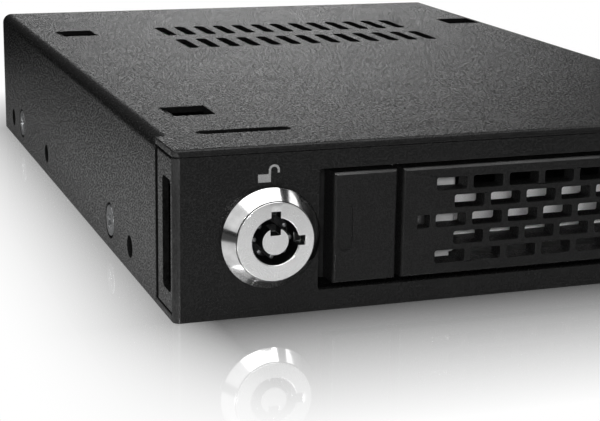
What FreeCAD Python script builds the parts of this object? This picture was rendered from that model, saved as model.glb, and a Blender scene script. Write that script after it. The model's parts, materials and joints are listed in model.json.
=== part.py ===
"""Drive bay enclosure with a key-locked, removable tray for one small drive.

Millimetres, +Z up. The origin is the middle of the underside, +X is the right-hand side
and the front faces -Y. Every size is a cell of the sheet named Sizes, and every place is
an expression of those cells.
"""
import FreeCAD
import Part
import Sketcher
import os
import re

SIZES = {
    # Enclosure of folded sheet steel
    "body_height": 25.4,
    "sheet": 1.0,
    "bend_radius": 1.9,
    "inner_bend_radius": 0.9,
    "lip_radius": 0.8,
    "bezel_plate": 1.2,
    "bezel_corner": 1.1,
    "bezel_top_gap": 0.05,
    "flange_depth": 8.9,
    "flange_gap": 1.4,
    "flange_edge_gap": 0.35,
    "flange_slot_front": 1.75,
    "flange_slot_width": 4.45,
    "flange_slot_bottom": 4.2,
    "flange_slot_height": 16.6,
    "flange_slot_corner": 0.8,
    "base_flange_height": 9.0,
    # Tray opening in the bezel
    "opening_right_margin": 4.3,
    "opening_bottom": 3.3,
    "opening_top_margin": 3.9,
    "opening_corner": 0.4,
    # Holes in the top and the sides
    "window_width": 7.2,
    "window_length": 7.2,
    "window_left_margin": 6.1,
    "window_right_margin": 2.3,
    "window_front": 24.5,
    "window_spacing": 85.4,
    "window_tab_drop": 2.5,
    "window_tab_step": 0.3,
    "finger_slot_length": 14.6,
    "finger_slot_width": 2.3,
    "finger_slot_left": 6.6,
    "finger_slot_front": 11.5,
    "vent_columns": 13,
    "vent_pitch": 4.24,
    "vent_left": 28.3,
    "vent_width": 2.0,
    "vent_length": 11.5,
    "vent_front": 95.4,
    "vent_row_pitch": 17.0,
    "mount_hole_radius": 1.5,
    "mount_height": 4.3,
    "mount_front": 27.0,
    "mount_spacing": 70.0,
    "mount_rear_margin": 11.0,
    "side_screw_height": 5.0,
    "side_screw_front": 41.1,
    "side_screw_rear_margin": 21.5,
    "side_screw_head_radius": 2.45,
    "side_screw_shank_radius": 1.4,
    "side_screw_tail": 0.8,
    "screw_clearance": 0.05,
    # Tray, its guides and the drive that it carries
    "tray_side_gap": 0.7,
    "tray_lift": 0.3,
    "tray_sheet": 1.0,
    "tray_top_gap": 1.1,
    "tray_bend_radius": 1.2,
    "guide_wall": 1.4,
    "guide_clearance": 0.3,
    "guide_ledge": 3.0,
    "guide_lip": 1.2,
    "slide_clearance": 0.05,
    "drive_width": 69.85,
    "drive_side_room": 1.09,
    "drive_length": 100.2,
    "drive_height": 7.0,
    "drive_lid": 0.8,
    "drive_lid_inset": 0.6,
    "drive_corner": 1.5,
    "drive_setback": 20.6,
    "drive_overhang": 7.2,
    "drive_hole_inset": 4.065,
    "drive_hole_rear": 14.0,
    "drive_hole_pitch": 76.6,
    "drive_screw_radius": 1.4,
    "drive_screw_reach": 2.4,
    "drive_screw_head_radius": 2.5,
    "screw_head_height": 0.6,
    "small_screw_radius": 0.9,
    "small_screw_head_radius": 1.8,
    "small_screw_reach": 1.8,
    "board_screw_radius": 0.7,
    "board_screw_head_radius": 1.2,
    "board_screw_reach": 3.0,
    # Plug and socket behind the drive
    "plug_width": 34.0,
    "plug_height": 4.8,
    "plug_depth": 5.2,
    "plug_offset": 10.0,
    "plug_rise": 0.9,
    "plug_gap": 0.4,
    "tongue_thickness": 1.2,
    "tongue_length": 4.6,
    "socket_flange": 3.0,
    "socket_depth": 5.6,
    "board_thickness": 1.6,
    "board_margin": 0.5,
    "host_data_width": 14.0,
    "host_power_width": 24.0,
    "host_height": 6.4,
    "host_depth": 18.0,
    "host_wall": 1.0,
    "host_spacing": 6.0,
    "host_rise": 9.0,
    "host_cutout_gap": 0.4,
    "rear_flange": 6.0,
    "rear_vent_count": 9,
    "rear_vent_pitch": 7.0,
    "rear_vent_margin": 1.6,
    # Perforated lever and its hinge
    "lever_thickness": 4.4,
    "lever_margin": 0.7,
    "lever_rear_gap": 0.6,
    "lever_edge": 0.5,
    "grille_plate": 3.1,
    "grille_rim": 0.5,
    "grille_columns": 8,
    "grille_bar": 1.1,
    "grille_row_pitch": 2.83,
    "grille_slot_height": 1.95,
    "grille_corner": 0.35,
    "grille_left": 5.45,
    "grille_right": 1.9,
    "lens_size": 2.0,
    "lens_left": 2.45,
    "lens_clearance": 0.05,
    "lens_recess": 1.8,
    "lens_corner": 0.3,
    "hinge_pin_radius": 1.0,
    "pin_clearance": 0.05,
    "ear_thickness": 1.3,
    "ear_half_width": 2.0,
    "ear_setback": 0.3,
    "ear_gap": 0.2,
    "knuckle_neck": 1.2,
    "bracket_foot": 8.0,
    # Latch button and the block that guides it
    "latch_gap": 2.28,
    "latch_width": 9.95,
    "latch_lever_gap": 0.95,
    "latch_mark_left": 0.9,
    "latch_mark_width": 2.05,
    "latch_mark_height": 6.8,
    "latch_mark_depth": 0.3,
    "latch_mark_corner": 0.7,
    "stem_inset": 2.1,
    "stem_width": 3.0,
    "stem_half_height": 3.0,
    "stem_depth": 4.6,
    "stem_clearance": 0.1,
    "tooth_thickness": 1.2,
    "tooth_front": 1.2,
    "tooth_gap": 0.5,
    "hook_inset": 0.4,
    "hook_width": 1.35,
    "hook_half_height": 2.6,
    "hook_depth": 3.2,
    "hook_nib": 1.0,
    "hook_nib_thickness": 1.0,
    "hook_room": 0.35,
    "block_width": 21.5,
    "block_depth": 7.0,
    "block_wall": 1.0,
    "block_corner": 0.8,
    "block_step_height": 1.3,
    "block_step_depth": 2.0,
    "spring_radius": 1.3,
    "spring_wire": 0.15,
    "spring_turns": 4,
    "spring_end_gap": 0.1,
    # Light guide from the rear board to the lens
    "pipe_radius": 0.7,
    "pipe_clearance": 0.05,
    "pipe_drive_gap": 0.1,
    "pipe_bend": 2.5,
    "pipe_cross": 19.0,
    "pipe_inset": 3.0,
    "lamp_size": 2.0,
    "lamp_depth": 1.5,
    # Tubular lock
    "lock_from_left": 14.24,
    "lock_drop": 0.7,
    "lock_opening_gap": 1.63,
    "collar_base_radius": 7.5,
    "collar_face_radius": 5.95,
    "collar_projection": 3.0,
    "collar_rim": 0.35,
    "keyway_radius": 3.5,
    "keyway_depth": 5.4,
    "keyway_notch_width": 1.45,
    "keyway_notch_radius": 4.45,
    "keyway_notch_depth": 2.2,
    "barrel_radius": 4.9,
    "barrel_flat": 4.4,
    "barrel_length": 13.0,
    "barrel_clearance": 0.1,
    "rotor_radius": 3.8,
    "rotor_clearance": 0.05,
    "post_radius": 1.97,
    "post_recess": 0.15,
    "post_notch_width": 1.55,
    "post_notch_floor": 0.9,
    "post_notch_depth": 2.6,
    "key_pin_count": 7,
    "key_pin_radius": 0.42,
    "key_pin_length": 0.9,
    "nut_across_flats": 12.0,
    "nut_thickness": 3.0,
    "rotor_tail": 1.0,
    "tail_radius": 2.0,
    "cam_thickness": 1.2,
    "cam_length": 10.0,
    "cam_half_width": 2.2,
    "cam_hub_radius": 3.4,
    "cam_clearance": 0.5,
    "cam_side_room": 1.5,
    "cam_screw_radius": 2.9,
    "cam_screw_height": 1.5,
}

PLACES = {
    "opening_width": "drive_width + 2 * (drive_side_room + tray_sheet + tray_side_gap)",
    "opening_left": "lock_from_left + nut_across_flats / 2 + lock_opening_gap",
    "body_width": "opening_left + opening_width + opening_right_margin",
    "body_depth": "drive_setback + drive_length + socket_depth + board_thickness + host_depth",
    "left": "-body_width / 2",
    "right": "body_width / 2",
    "front": "-body_depth / 2",
    "rear": "body_depth / 2",
    "under_top": "body_height - sheet",
    "side_front": "front + flange_depth + flange_gap",
    "open_left": "left + opening_left",
    "open_right": "right - opening_right_margin",
    "open_top": "body_height - opening_top_margin",
    "tray_left": "open_left + tray_side_gap",
    "tray_right": "open_right - tray_side_gap",
    "tray_middle": "(tray_left + tray_right) / 2",
    "tray_bottom": "opening_bottom + tray_lift",
    "tray_floor": "tray_bottom + tray_sheet",
    "tray_top": "open_top - tray_top_gap",
    "tray_front": "front + lever_thickness + lever_rear_gap",
    "tray_rear": "drive_rear - drive_overhang",
    "drive_left": "tray_middle - drive_width / 2",
    "drive_right": "tray_middle + drive_width / 2",
    "drive_front": "front + drive_setback",
    "drive_rear": "drive_front + drive_length",
    "drive_split": "tray_floor + drive_height - drive_lid",
    "drive_top": "tray_floor + drive_height",
    "plug_middle": "tray_middle + plug_offset",
    "plug_low": "tray_floor + plug_rise",
    "plug_height_middle": "plug_low + plug_height / 2",
    "plug_front": "drive_rear - plug_depth",
    "board_front": "drive_rear + socket_depth",
    "board_rear": "board_front + board_thickness",
    "guide_left_inner": "tray_left - guide_clearance",
    "guide_left_outer": "guide_left_inner - guide_wall",
    "guide_right_inner": "tray_right + guide_clearance",
    "guide_right_outer": "guide_right_inner + guide_wall",
    "ledge_top": "tray_bottom - slide_clearance",
    "lever_low": "opening_bottom + lever_margin",
    "lever_high": "open_top - lever_margin",
    "lever_middle": "(lever_low + lever_high) / 2",
    "lever_rear": "front + lever_thickness",
    "latch_left": "open_left + latch_gap",
    "latch_right": "latch_left + latch_width",
    "lever_left": "latch_right + latch_lever_gap",
    "hinge_x": "tray_right - tray_sheet - ear_half_width",
    "hinge_y": "front + lever_thickness / 2",
    "ear_low_top": "tray_floor + ear_thickness",
    "ear_high_low": "tray_top - ear_thickness",
    "knuckle_low": "ear_low_top + ear_gap",
    "knuckle_high": "ear_high_low - ear_gap",
    "lever_neck": "hinge_x - ear_half_width - knuckle_neck",
    "grille_pitch": "(lever_neck - lever_left - grille_left - grille_right) / grille_columns",
    "block_left": "tray_left + tray_sheet",
    "block_right": "block_left + block_width",
    "stem_right": "latch_right - stem_inset",
    "stem_left": "stem_right - stem_width",
    "stem_rear": "lever_rear + stem_depth",
    "hook_left": "lever_left + hook_inset",
    "nib_left": "hook_left - hook_nib",
    "pocket_left": "block_left + block_wall",
    "pocket_right": "hook_left + hook_width + hook_room",
    "lens_x": "lever_left + lens_left + lens_size / 2",
    "pipe_x": "drive_left + pipe_inset",
    "pipe_height": "drive_top + pipe_drive_gap + pipe_radius",
    "lock_x": "left + lock_from_left",
    "lock_height": "body_height / 2 - lock_drop",
    "cam_front": "front + barrel_length + rotor_tail",
}

document = FreeCAD.newDocument("drive_tray")
sheet = document.addObject("Spreadsheet::Sheet", "Sizes")
pieces = []


def fill_sheet():
    """One row for each driving size: its name, and the number that carries the alias."""
    for row, (name, value) in enumerate(SIZES.items(), start=1):
        sheet.set(f"A{row}", name)
        sheet.set(f"B{row}", str(value))
        sheet.setAlias(f"B{row}", name)
    document.recompute()


def bind(text):
    """Spell an expression of named places out in cells of the sheet."""
    def spell(match):
        word = match.group()
        if word in PLACES:
            return f"({bind(PLACES[word])})"
        return f"Sizes.{word}" if word in SIZES else word
    return re.sub(r"[a-z_]+", spell, text)


def number(text):
    """The present value of an expression."""
    return float(sheet.evalExpression(bind(text)))


def vector(x, y, z):
    return FreeCAD.Vector(number(x), number(y), number(z))


def new_body(label):
    """A body of its own for one piece."""
    body = document.addObject("PartDesign::Body", label)
    body.Label = label
    pieces.append(body)
    return body


def sketch_on(body, plane, height):
    """A sketch on one of the body's own planes, moved along its axis to a height."""
    sketch = body.newObject("Sketcher::SketchObject", f"{body.Label}_sketch")
    support = next(item for item in body.Origin.OriginFeatures if item.Role == plane)
    sketch.AttachmentSupport = [(support, "")]
    sketch.MapMode = "FlatFace"
    away = f"-({height})" if plane == "XZ_Plane" else height
    sketch.setExpression("AttachmentOffset.Base.z", bind(away))
    return sketch


def set_size(sketch, kind, text, *where):
    """A dimension of the sketch that follows an expression."""
    index = sketch.addConstraint(Sketcher.Constraint(kind, *where, number(text)))
    sketch.setExpression(f"Constraints[{index}]", bind(text))


def set_point(sketch, geometry, vertex, x, y):
    """Hold a vertex at a place measured from the sketch's origin."""
    set_size(sketch, "DistanceX", x, -1, 1, geometry, vertex)
    set_size(sketch, "DistanceY", y, -1, 1, geometry, vertex)


def polygon(sketch, *points):
    """A closed outline of straight lines."""
    corners = [vector(x, y, "0") for x, y in points]
    first = sketch.GeometryCount
    count = len(points)
    for index, corner in enumerate(corners):
        sketch.addGeometry(Part.LineSegment(corner, corners[(index + 1) % count]), False)
    for index, (x, y) in enumerate(points):
        after = first + (index + 1) % count
        sketch.addConstraint(Sketcher.Constraint("Coincident", first + index, 2, after, 1))
        set_point(sketch, first + index, 1, x, y)


def rectangle(sketch, low_x, low_y, high_x, high_y):
    polygon(sketch, (low_x, low_y), (high_x, low_y), (high_x, high_y), (low_x, high_y))


def circle(sketch, x, y, radius):
    geometry = sketch.addGeometry(
        Part.Circle(vector(x, y, "0"), FreeCAD.Vector(0, 0, 1), number(radius)), False)
    set_point(sketch, geometry, 3, x, y)
    set_size(sketch, "Radius", radius, geometry)


def rounded(sketch, low_x, low_y, high_x, high_y, radius):
    """A rectangle whose corners are quarter circles."""
    corner = number(radius)
    x0, y0, x1, y1 = (number(side) for side in (low_x, low_y, high_x, high_y))
    first = sketch.GeometryCount
    lines = (
        ((x0 + corner, y0), (x1 - corner, y0)),
        ((x1, y0 + corner), (x1, y1 - corner)),
        ((x1 - corner, y1), (x0 + corner, y1)),
        ((x0, y1 - corner), (x0, y0 + corner)),
    )
    centres = (
        (x1 - corner, y0 + corner), (x1 - corner, y1 - corner),
        (x0 + corner, y1 - corner), (x0 + corner, y0 + corner),
    )
    for start, end in lines:
        sketch.addGeometry(
            Part.LineSegment(FreeCAD.Vector(*start, 0), FreeCAD.Vector(*end, 0)), False)
    quarter = FreeCAD.Units.Quantity("90 deg").getValueAs("rad").Value
    for turn, centre in enumerate(centres):
        round_edge = Part.Circle(FreeCAD.Vector(*centre, 0), FreeCAD.Vector(0, 0, 1), corner)
        sketch.addGeometry(
            Part.ArcOfCircle(round_edge, (turn - 1) * quarter, turn * quarter), False)
    for side in range(4):
        line = first + side
        arc = first + 4 + side
        following = first + (side + 1) % 4
        sketch.addConstraint(Sketcher.Constraint("Tangent", line, 2, arc, 1))
        sketch.addConstraint(Sketcher.Constraint("Tangent", arc, 2, following, 1))
        direction = "Vertical" if side % 2 else "Horizontal"
        sketch.addConstraint(Sketcher.Constraint(direction, line))
        if side:
            sketch.addConstraint(Sketcher.Constraint("Equal", first + 4, arc))
    set_size(sketch, "Radius", radius, first + 4)
    set_size(sketch, "DistanceY", low_y, -1, 1, first, 1)
    set_size(sketch, "DistanceX", high_x, -1, 1, first + 1, 1)
    set_size(sketch, "DistanceY", high_y, -1, 1, first + 2, 1)
    set_size(sketch, "DistanceX", low_x, -1, 1, first + 3, 1)


def extrude(body, kind, plane, start, end, *outlines):
    """Pad or pocket the outlines along the plane's axis, from start to end."""
    before = body.Shape.Volume if body.Tip else 0.0
    sketch = sketch_on(body, plane, start)
    for draw, sizes in outlines:
        draw(sketch, *sizes)
    feature = body.newObject(f"PartDesign::{kind}", f"{body.Label}_{kind.lower()}")
    feature.Profile = sketch
    feature.setExpression("Length", bind(f"({end}) - ({start})"))
    faces_back = plane == "XZ_Plane"
    feature.Reversed = faces_back if kind == "Pad" else not faces_back
    document.recompute()
    added = feature.Shape.Volume - before
    if (added > 0) != (kind == "Pad"):
        raise RuntimeError(f"{feature.Name} changes the volume by {added}")
    return feature


def pad(body, plane, start, end, *outlines):
    return extrude(body, "Pad", plane, start, end, *outlines)


def pocket(body, plane, start, end, *outlines):
    return extrude(body, "Pocket", plane, start, end, *outlines)


def repeat_along_x(body, feature, count, pitch):
    """Repeat a feature along its sketch's horizontal axis."""
    pattern = body.newObject("PartDesign::LinearPattern", f"{body.Label}_row")
    pattern.Originals = [feature]
    pattern.Direction = (feature.Profile[0], ["H_Axis"])
    pattern.setExpression("Occurrences", bind(count))
    pattern.setExpression("Length", bind(f"({pitch}) * (({count}) - 1)"))
    body.Tip = pattern
    document.recompute()
    return pattern


def round_edges(body, radius, chosen):
    """Fillet the edges of the body's last feature that a test picks out."""
    base = body.Tip
    names = [f"Edge{index}" for index, edge in enumerate(base.Shape.Edges, start=1) if chosen(edge)]
    if not names:
        raise RuntimeError(f"{body.Label} has no edge to round")
    fillet = body.newObject("PartDesign::Fillet", f"{body.Label}_fillet")
    fillet.Base = (base, names)
    fillet.setExpression("Radius", bind(radius))
    document.recompute()


def runs_along(edge, axis):
    """Whether an edge is a straight line along an axis, 0 for X to 2 for Z."""
    if not isinstance(edge.Curve, Part.Line):
        return False
    return abs(abs(edge.Curve.Direction[axis]) - 1) < 1e-6


def lies_at(edge, **places):
    """Whether an edge's middle has the coordinates given as expressions."""
    middle = edge.CenterOfMass
    return all(abs(getattr(middle, axis) - number(text)) < 1e-4 for axis, text in places.items())


def turned(label, *outline):
    """A turned piece: an outline of radius and height, revolved about its own Z axis."""
    body = new_body(label)
    sketch = sketch_on(body, "XZ_Plane", "0")
    polygon(sketch, *outline)
    revolution = body.newObject("PartDesign::Revolution", f"{label}_turned")
    revolution.Profile = sketch
    revolution.ReferenceAxis = (sketch, ["V_Axis"])
    revolution.Angle = 360
    document.recompute()
    return body


def stand_at(item, x, y, z, turn=None):
    """Set a piece at a place, turned about X first where its axis isn't upright."""
    if turn:
        item.Placement = FreeCAD.Placement(FreeCAD.Vector(), turn)
    for axis, text in (("x", x), ("y", y), ("z", z)):
        item.setExpression(f"Placement.Base.{axis}", bind(text))
    document.recompute()


def group(label, model, places):
    """A node of like pieces: copies of a model, each at a place and turned as given."""
    pieces.remove(model)
    copies = []
    for place, turn in places:
        copy = model.Shape.copy()
        copy.Placement = FreeCAD.Placement(vector(*place), turn)
        copies.append(copy)
    feature = document.addObject("Part::Feature", label)
    feature.Label = label
    feature.Shape = Part.makeCompound(copies)
    pieces.append(feature)


UPRIGHT = FreeCAD.Rotation()
ALONG_Y = FreeCAD.Rotation(FreeCAD.Vector(1, 0, 0), -90)
AGAINST_Y = FreeCAD.Rotation(FreeCAD.Vector(1, 0, 0), 90)
ALONG_X = FreeCAD.Rotation(FreeCAD.Vector(0, 1, 0), 90)
AGAINST_X = FreeCAD.Rotation(FreeCAD.Vector(0, 1, 0), -90)


def make_cover():
    """Top and sides folded from one sheet, with windows, a finger slot and two rows of vents."""
    body = new_body("cover")
    pad(body, "XZ_Plane", "side_front", "rear", (polygon, (
        ("left", "0"), ("left + sheet", "0"), ("left + sheet", "under_top"),
        ("right - sheet", "under_top"), ("right - sheet", "0"), ("right", "0"),
        ("right", "body_height"), ("left", "body_height"))))
    outer = number("right")
    top = number("body_height")
    inner = number("right - sheet")
    under = number("under_top")

    def fold(x, z):
        return lambda edge: (runs_along(edge, 1)
                             and abs(abs(edge.CenterOfMass.x) - x) < 1e-4
                             and abs(edge.CenterOfMass.z - z) < 1e-4)
    round_edges(body, "bend_radius", fold(outer, top))
    round_edges(body, "inner_bend_radius", fold(inner, under))
    pad(body, "XY_Plane", "under_top", "body_height",
        (rectangle, ("left", "front", "right", "side_front")))
    round_edges(body, "lip_radius", lambda edge: runs_along(edge, 0) and lies_at(
        edge, y="front", z="body_height"))
    windows = []
    tabs = []
    for row in ("window_front", "window_front + window_spacing"):
        low = f"front + {row}"
        near = "left + window_left_margin"
        far = "right - window_right_margin"
        windows.append((rectangle, (near, low, f"{near} + window_width", f"{low} + window_length")))
        windows.append((rectangle, (f"{far} - window_width", low, far, f"{low} + window_length")))
        tabs.append((rectangle, (near, f"{low} + inner_bend_radius", f"{near} + sheet",
                                 f"{low} + window_length - inner_bend_radius")))
    pocket(body, "XY_Plane", "under_top", "body_height", *windows)
    pad(body, "XY_Plane", "under_top - window_tab_drop", "body_height - window_tab_step", *tabs)
    slot_y = "front + finger_slot_front"
    pocket(body, "XY_Plane", "under_top", "body_height", (rounded, (
        "left + finger_slot_left", f"{slot_y} - finger_slot_width / 2",
        "left + finger_slot_left + finger_slot_length", f"{slot_y} + finger_slot_width / 2",
        "finger_slot_width * 0.49")))
    vents = []
    for row in ("vent_front", "vent_front + vent_row_pitch"):
        middle = f"front + {row}"
        vents.append((rounded, (
            "left + vent_left - vent_width / 2", f"{middle} - vent_length / 2",
            "left + vent_left + vent_width / 2", f"{middle} + vent_length / 2",
            "vent_width * 0.49")))
    first = pocket(body, "XY_Plane", "under_top", "body_height", *vents)
    repeat_along_x(body, first, "vent_columns", "vent_pitch")
    pocket(body, "YZ_Plane", "left", "right", *mount_holes(),
           *screw_holes("side_screw_head_radius + screw_clearance"))


def mount_holes():
    """The threaded holes that fix the enclosure in a bay, the same on both sides."""
    rows = ("front + mount_front", "front + mount_front + mount_spacing", "rear - mount_rear_margin")
    return [(circle, (row, "mount_height", "mount_hole_radius")) for row in rows]


def side_screw_rows():
    """How far back the screws stand that join the cover to the base plate."""
    return "front + side_screw_front", "rear - side_screw_rear_margin"


def screw_holes(radius):
    """Holes for the screws that join the cover to the base plate."""
    return [(circle, (row, "side_screw_height", radius)) for row in side_screw_rows()]


def guide_screw_places():
    """Where the guides are screwed to the base plate."""
    columns = ("(guide_left_outer + guide_left_inner + guide_ledge) / 2",
               "(guide_right_outer + guide_right_inner - guide_ledge) / 2")
    rows = ("front + window_front", "front + window_front + window_spacing")
    return [(x, y) for x in columns for y in rows]


def make_base_plate():
    """Bottom sheet with upturned sides inside the cover and a tongue under the bezel's flanges."""
    body = new_body("base_plate")
    near = "left + sheet"
    far = "right - sheet"
    pad(body, "XZ_Plane", "side_front", "rear", (polygon, (
        (near, "0"), (far, "0"), (far, "base_flange_height"), (f"{far} - sheet", "base_flange_height"),
        (f"{far} - sheet", "sheet"), (f"{near} + sheet", "sheet"),
        (f"{near} + sheet", "base_flange_height"), (near, "base_flange_height"))))
    pad(body, "XY_Plane", "0", "sheet",
        (rectangle, ("left", "front + bezel_plate", "right", "side_front")))
    pocket(body, "YZ_Plane", "left", "right", *mount_holes(),
           *screw_holes("side_screw_shank_radius + screw_clearance"))
    places = guide_screw_places()
    pocket(body, "XY_Plane", "0", "sheet", *[
        (circle, (x, y, "small_screw_radius + screw_clearance")) for x, y in places])
    pocket(body, "XY_Plane", "0", "screw_head_height", *[
        (circle, (x, y, "small_screw_head_radius + screw_clearance")) for x, y in places])


def make_front_bezel():
    """Front plate with the tray opening and the lock hole, and slotted flanges at its sides."""
    body = new_body("front_bezel")
    back = "front + bezel_plate"
    deep = "front + flange_depth"
    top = "under_top - bezel_top_gap"
    pad(body, "XY_Plane", "0", top, (rectangle, ("left", "front", "right", back)))
    pad(body, "XY_Plane", "sheet + flange_edge_gap", "under_top - flange_edge_gap",
        (rectangle, ("left", back, "left + sheet", deep)),
        (rectangle, ("right - sheet", back, "right", deep)))
    round_edges(body, "bezel_corner", lambda edge: runs_along(edge, 2)
                and lies_at(edge, y="front"))
    pocket(body, "XZ_Plane", "front", back,
           (rounded, ("open_left", "opening_bottom", "open_right", "open_top", "opening_corner")),
           (circle, ("lock_x", "lock_height", "barrel_radius + barrel_clearance")))
    slot = "front + flange_slot_front"
    pocket(body, "YZ_Plane", "left", "right", (rounded, (
        slot, "flange_slot_bottom", f"{slot} + flange_slot_width",
        "flange_slot_bottom + flange_slot_height", "flange_slot_corner")))


def host_places():
    """Left edge and width of the two connectors that face the rear."""
    start = "plug_middle - (host_data_width + host_spacing + host_power_width) / 2"
    return {
        "host_power_connector": (start, "host_power_width"),
        "host_data_connector": (f"{start} + host_power_width + host_spacing", "host_data_width"),
    }


def make_rear_panel():
    """Rear plate with a foot on the base plate, connector cut-outs and a row of vents."""
    body = new_body("rear_panel")
    near = "left + 2 * sheet"
    far = "right - 2 * sheet"
    pad(body, "YZ_Plane", near, far, (polygon, (
        ("rear - rear_flange", "sheet"), ("rear", "sheet"), ("rear", "under_top"),
        ("rear - sheet", "under_top"), ("rear - sheet", "2 * sheet"),
        ("rear - rear_flange", "2 * sheet"))))
    cuts = []
    for start, width in host_places().values():
        cuts.append((rectangle, (
            f"{start} - host_cutout_gap", "host_rise - host_cutout_gap",
            f"{start} + {width} + host_cutout_gap", "host_rise + host_height + host_cutout_gap")))
    pocket(body, "XZ_Plane", "rear - sheet", "rear", *cuts)
    low = "host_rise + host_height + host_cutout_gap + host_wall"
    start = "tray_middle - rear_vent_pitch * (rear_vent_count - 1) / 2 - vent_width / 2"
    vent = pocket(body, "XZ_Plane", "rear - sheet", "rear", (rounded, (
        start, low, f"{start} + vent_width", "under_top - rear_vent_margin", "vent_width * 0.49")))
    repeat_along_x(body, vent, "rear_vent_count", "rear_vent_pitch")


def guide_outline(outer, inner, sign):
    """Section of a guide: wall, ledge under the tray and lip above it."""
    ledge = f"{inner} {sign} guide_ledge"
    return (
        (outer, "sheet"), (ledge, "sheet"), (ledge, "ledge_top"), (inner, "ledge_top"),
        (inner, "open_top"), (ledge, "open_top"), (ledge, "open_top + guide_lip"),
        (inner, "open_top + guide_lip"), (inner, "under_top"), (outer, "under_top"))


def make_guides():
    """Moulded channels that the tray slides in; the left one lets the lock's cam through."""
    sides = (("left_guide", "guide_left_outer", "guide_left_inner", "+"),
             ("right_guide", "guide_right_outer", "guide_right_inner", "-"))
    for index, (label, outer, inner, sign) in enumerate(sides):
        body = new_body(label)
        pad(body, "XZ_Plane", "side_front", "board_front",
            (polygon, guide_outline(outer, inner, sign)))
        places = guide_screw_places()[2 * index:2 * index + 2]
        pocket(body, "XY_Plane", "sheet", "sheet + small_screw_reach", *[
            (circle, (x, y, "small_screw_radius + screw_clearance")) for x, y in places])
        x, z = board_screw_places()[index]
        pocket(body, "XZ_Plane", "board_front - board_screw_reach", "board_front",
               (circle, (x, z, "board_screw_radius + screw_clearance")))
        if label == "left_guide":
            cut_cam_window(body, outer, inner)


def cut_cam_window(body, outer, inner):
    """Window in a wall, as high as the cam's tip reaches where it swings through."""
    rise = f"sqrt(cam_length ^ 2 - (({outer}) - lock_x) ^ 2)"
    pocket(body, "YZ_Plane", outer, inner, (rectangle, (
        "cam_front - cam_side_room", "lock_height - cam_half_width - cam_clearance",
        "cam_front + cam_thickness + cam_side_room", f"lock_height + {rise} + cam_clearance")))


def board_screw_places():
    """Where the board is screwed to the rear ends of the guides' ledges."""
    return [("(guide_left_inner + guide_ledge / 2)", "(sheet + ledge_top) / 2"),
            ("(guide_right_inner - guide_ledge / 2)", "(sheet + ledge_top) / 2")]


def make_board():
    """Circuit board across the rear ends of the guides, its socket, lamp and host connectors."""
    body = new_body("backplane_board")
    pad(body, "XZ_Plane", "board_front", "board_rear", (rectangle, (
        "guide_left_outer", "sheet", "guide_right_outer", "under_top - board_margin")))
    pocket(body, "XZ_Plane", "board_front", "board_rear", *[
        (circle, (x, z, "board_screw_radius + screw_clearance")) for x, z in board_screw_places()])
    nose_left = "plug_middle - plug_width / 2 + plug_gap"
    nose_right = "plug_middle + plug_width / 2 - plug_gap"
    nose_low = "plug_low + plug_gap"
    nose_high = "plug_low + plug_height - plug_gap"
    body = new_body("drive_socket")
    pad(body, "XZ_Plane", "drive_rear + plug_gap", "board_front", (rectangle, (
        f"{nose_left} - socket_flange", nose_low, f"{nose_right} + socket_flange", nose_high)))
    pad(body, "XZ_Plane", "plug_front + plug_gap", "drive_rear + plug_gap",
        (rectangle, (nose_left, nose_low, nose_right, nose_high)))
    pocket(body, "XZ_Plane", "plug_front + plug_gap", "drive_rear", (rectangle, (
        f"{nose_left} + host_wall", "plug_height_middle - tongue_thickness / 2 - plug_gap",
        f"{nose_right} - host_wall", "plug_height_middle + tongue_thickness / 2 + plug_gap")))
    body = new_body("status_lamp")
    pad(body, "XZ_Plane", "board_front - lamp_depth", "board_front", (rectangle, (
        "pipe_x - lamp_size / 2", "pipe_height - lamp_size / 2",
        "pipe_x + lamp_size / 2", "pipe_height + lamp_size / 2")))
    for label, (start, width) in host_places().items():
        make_host_connector(label, start, width)


def make_host_connector(label, start, width):
    """Shrouded connector on the board's rear, with the contact tongue inside its shroud."""
    body = new_body(label)
    low = "host_rise"
    high = "host_rise + host_height"
    end = f"{start} + {width}"
    pad(body, "XZ_Plane", "board_rear", "rear", (rectangle, (start, low, end, high)))
    pocket(body, "XZ_Plane", "board_rear + socket_depth", "rear", (rectangle, (
        f"{start} + host_wall", f"{low} + host_wall", f"{end} - host_wall", f"{high} - host_wall")))
    middle = "(host_rise + host_height / 2)"
    pad(body, "XZ_Plane", "board_rear + socket_depth", "rear - host_wall", (rectangle, (
        f"{start} + 2 * host_wall", f"{middle} - tongue_thickness / 2",
        f"{end} - 2 * host_wall", f"{middle} + tongue_thickness / 2")))


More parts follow.
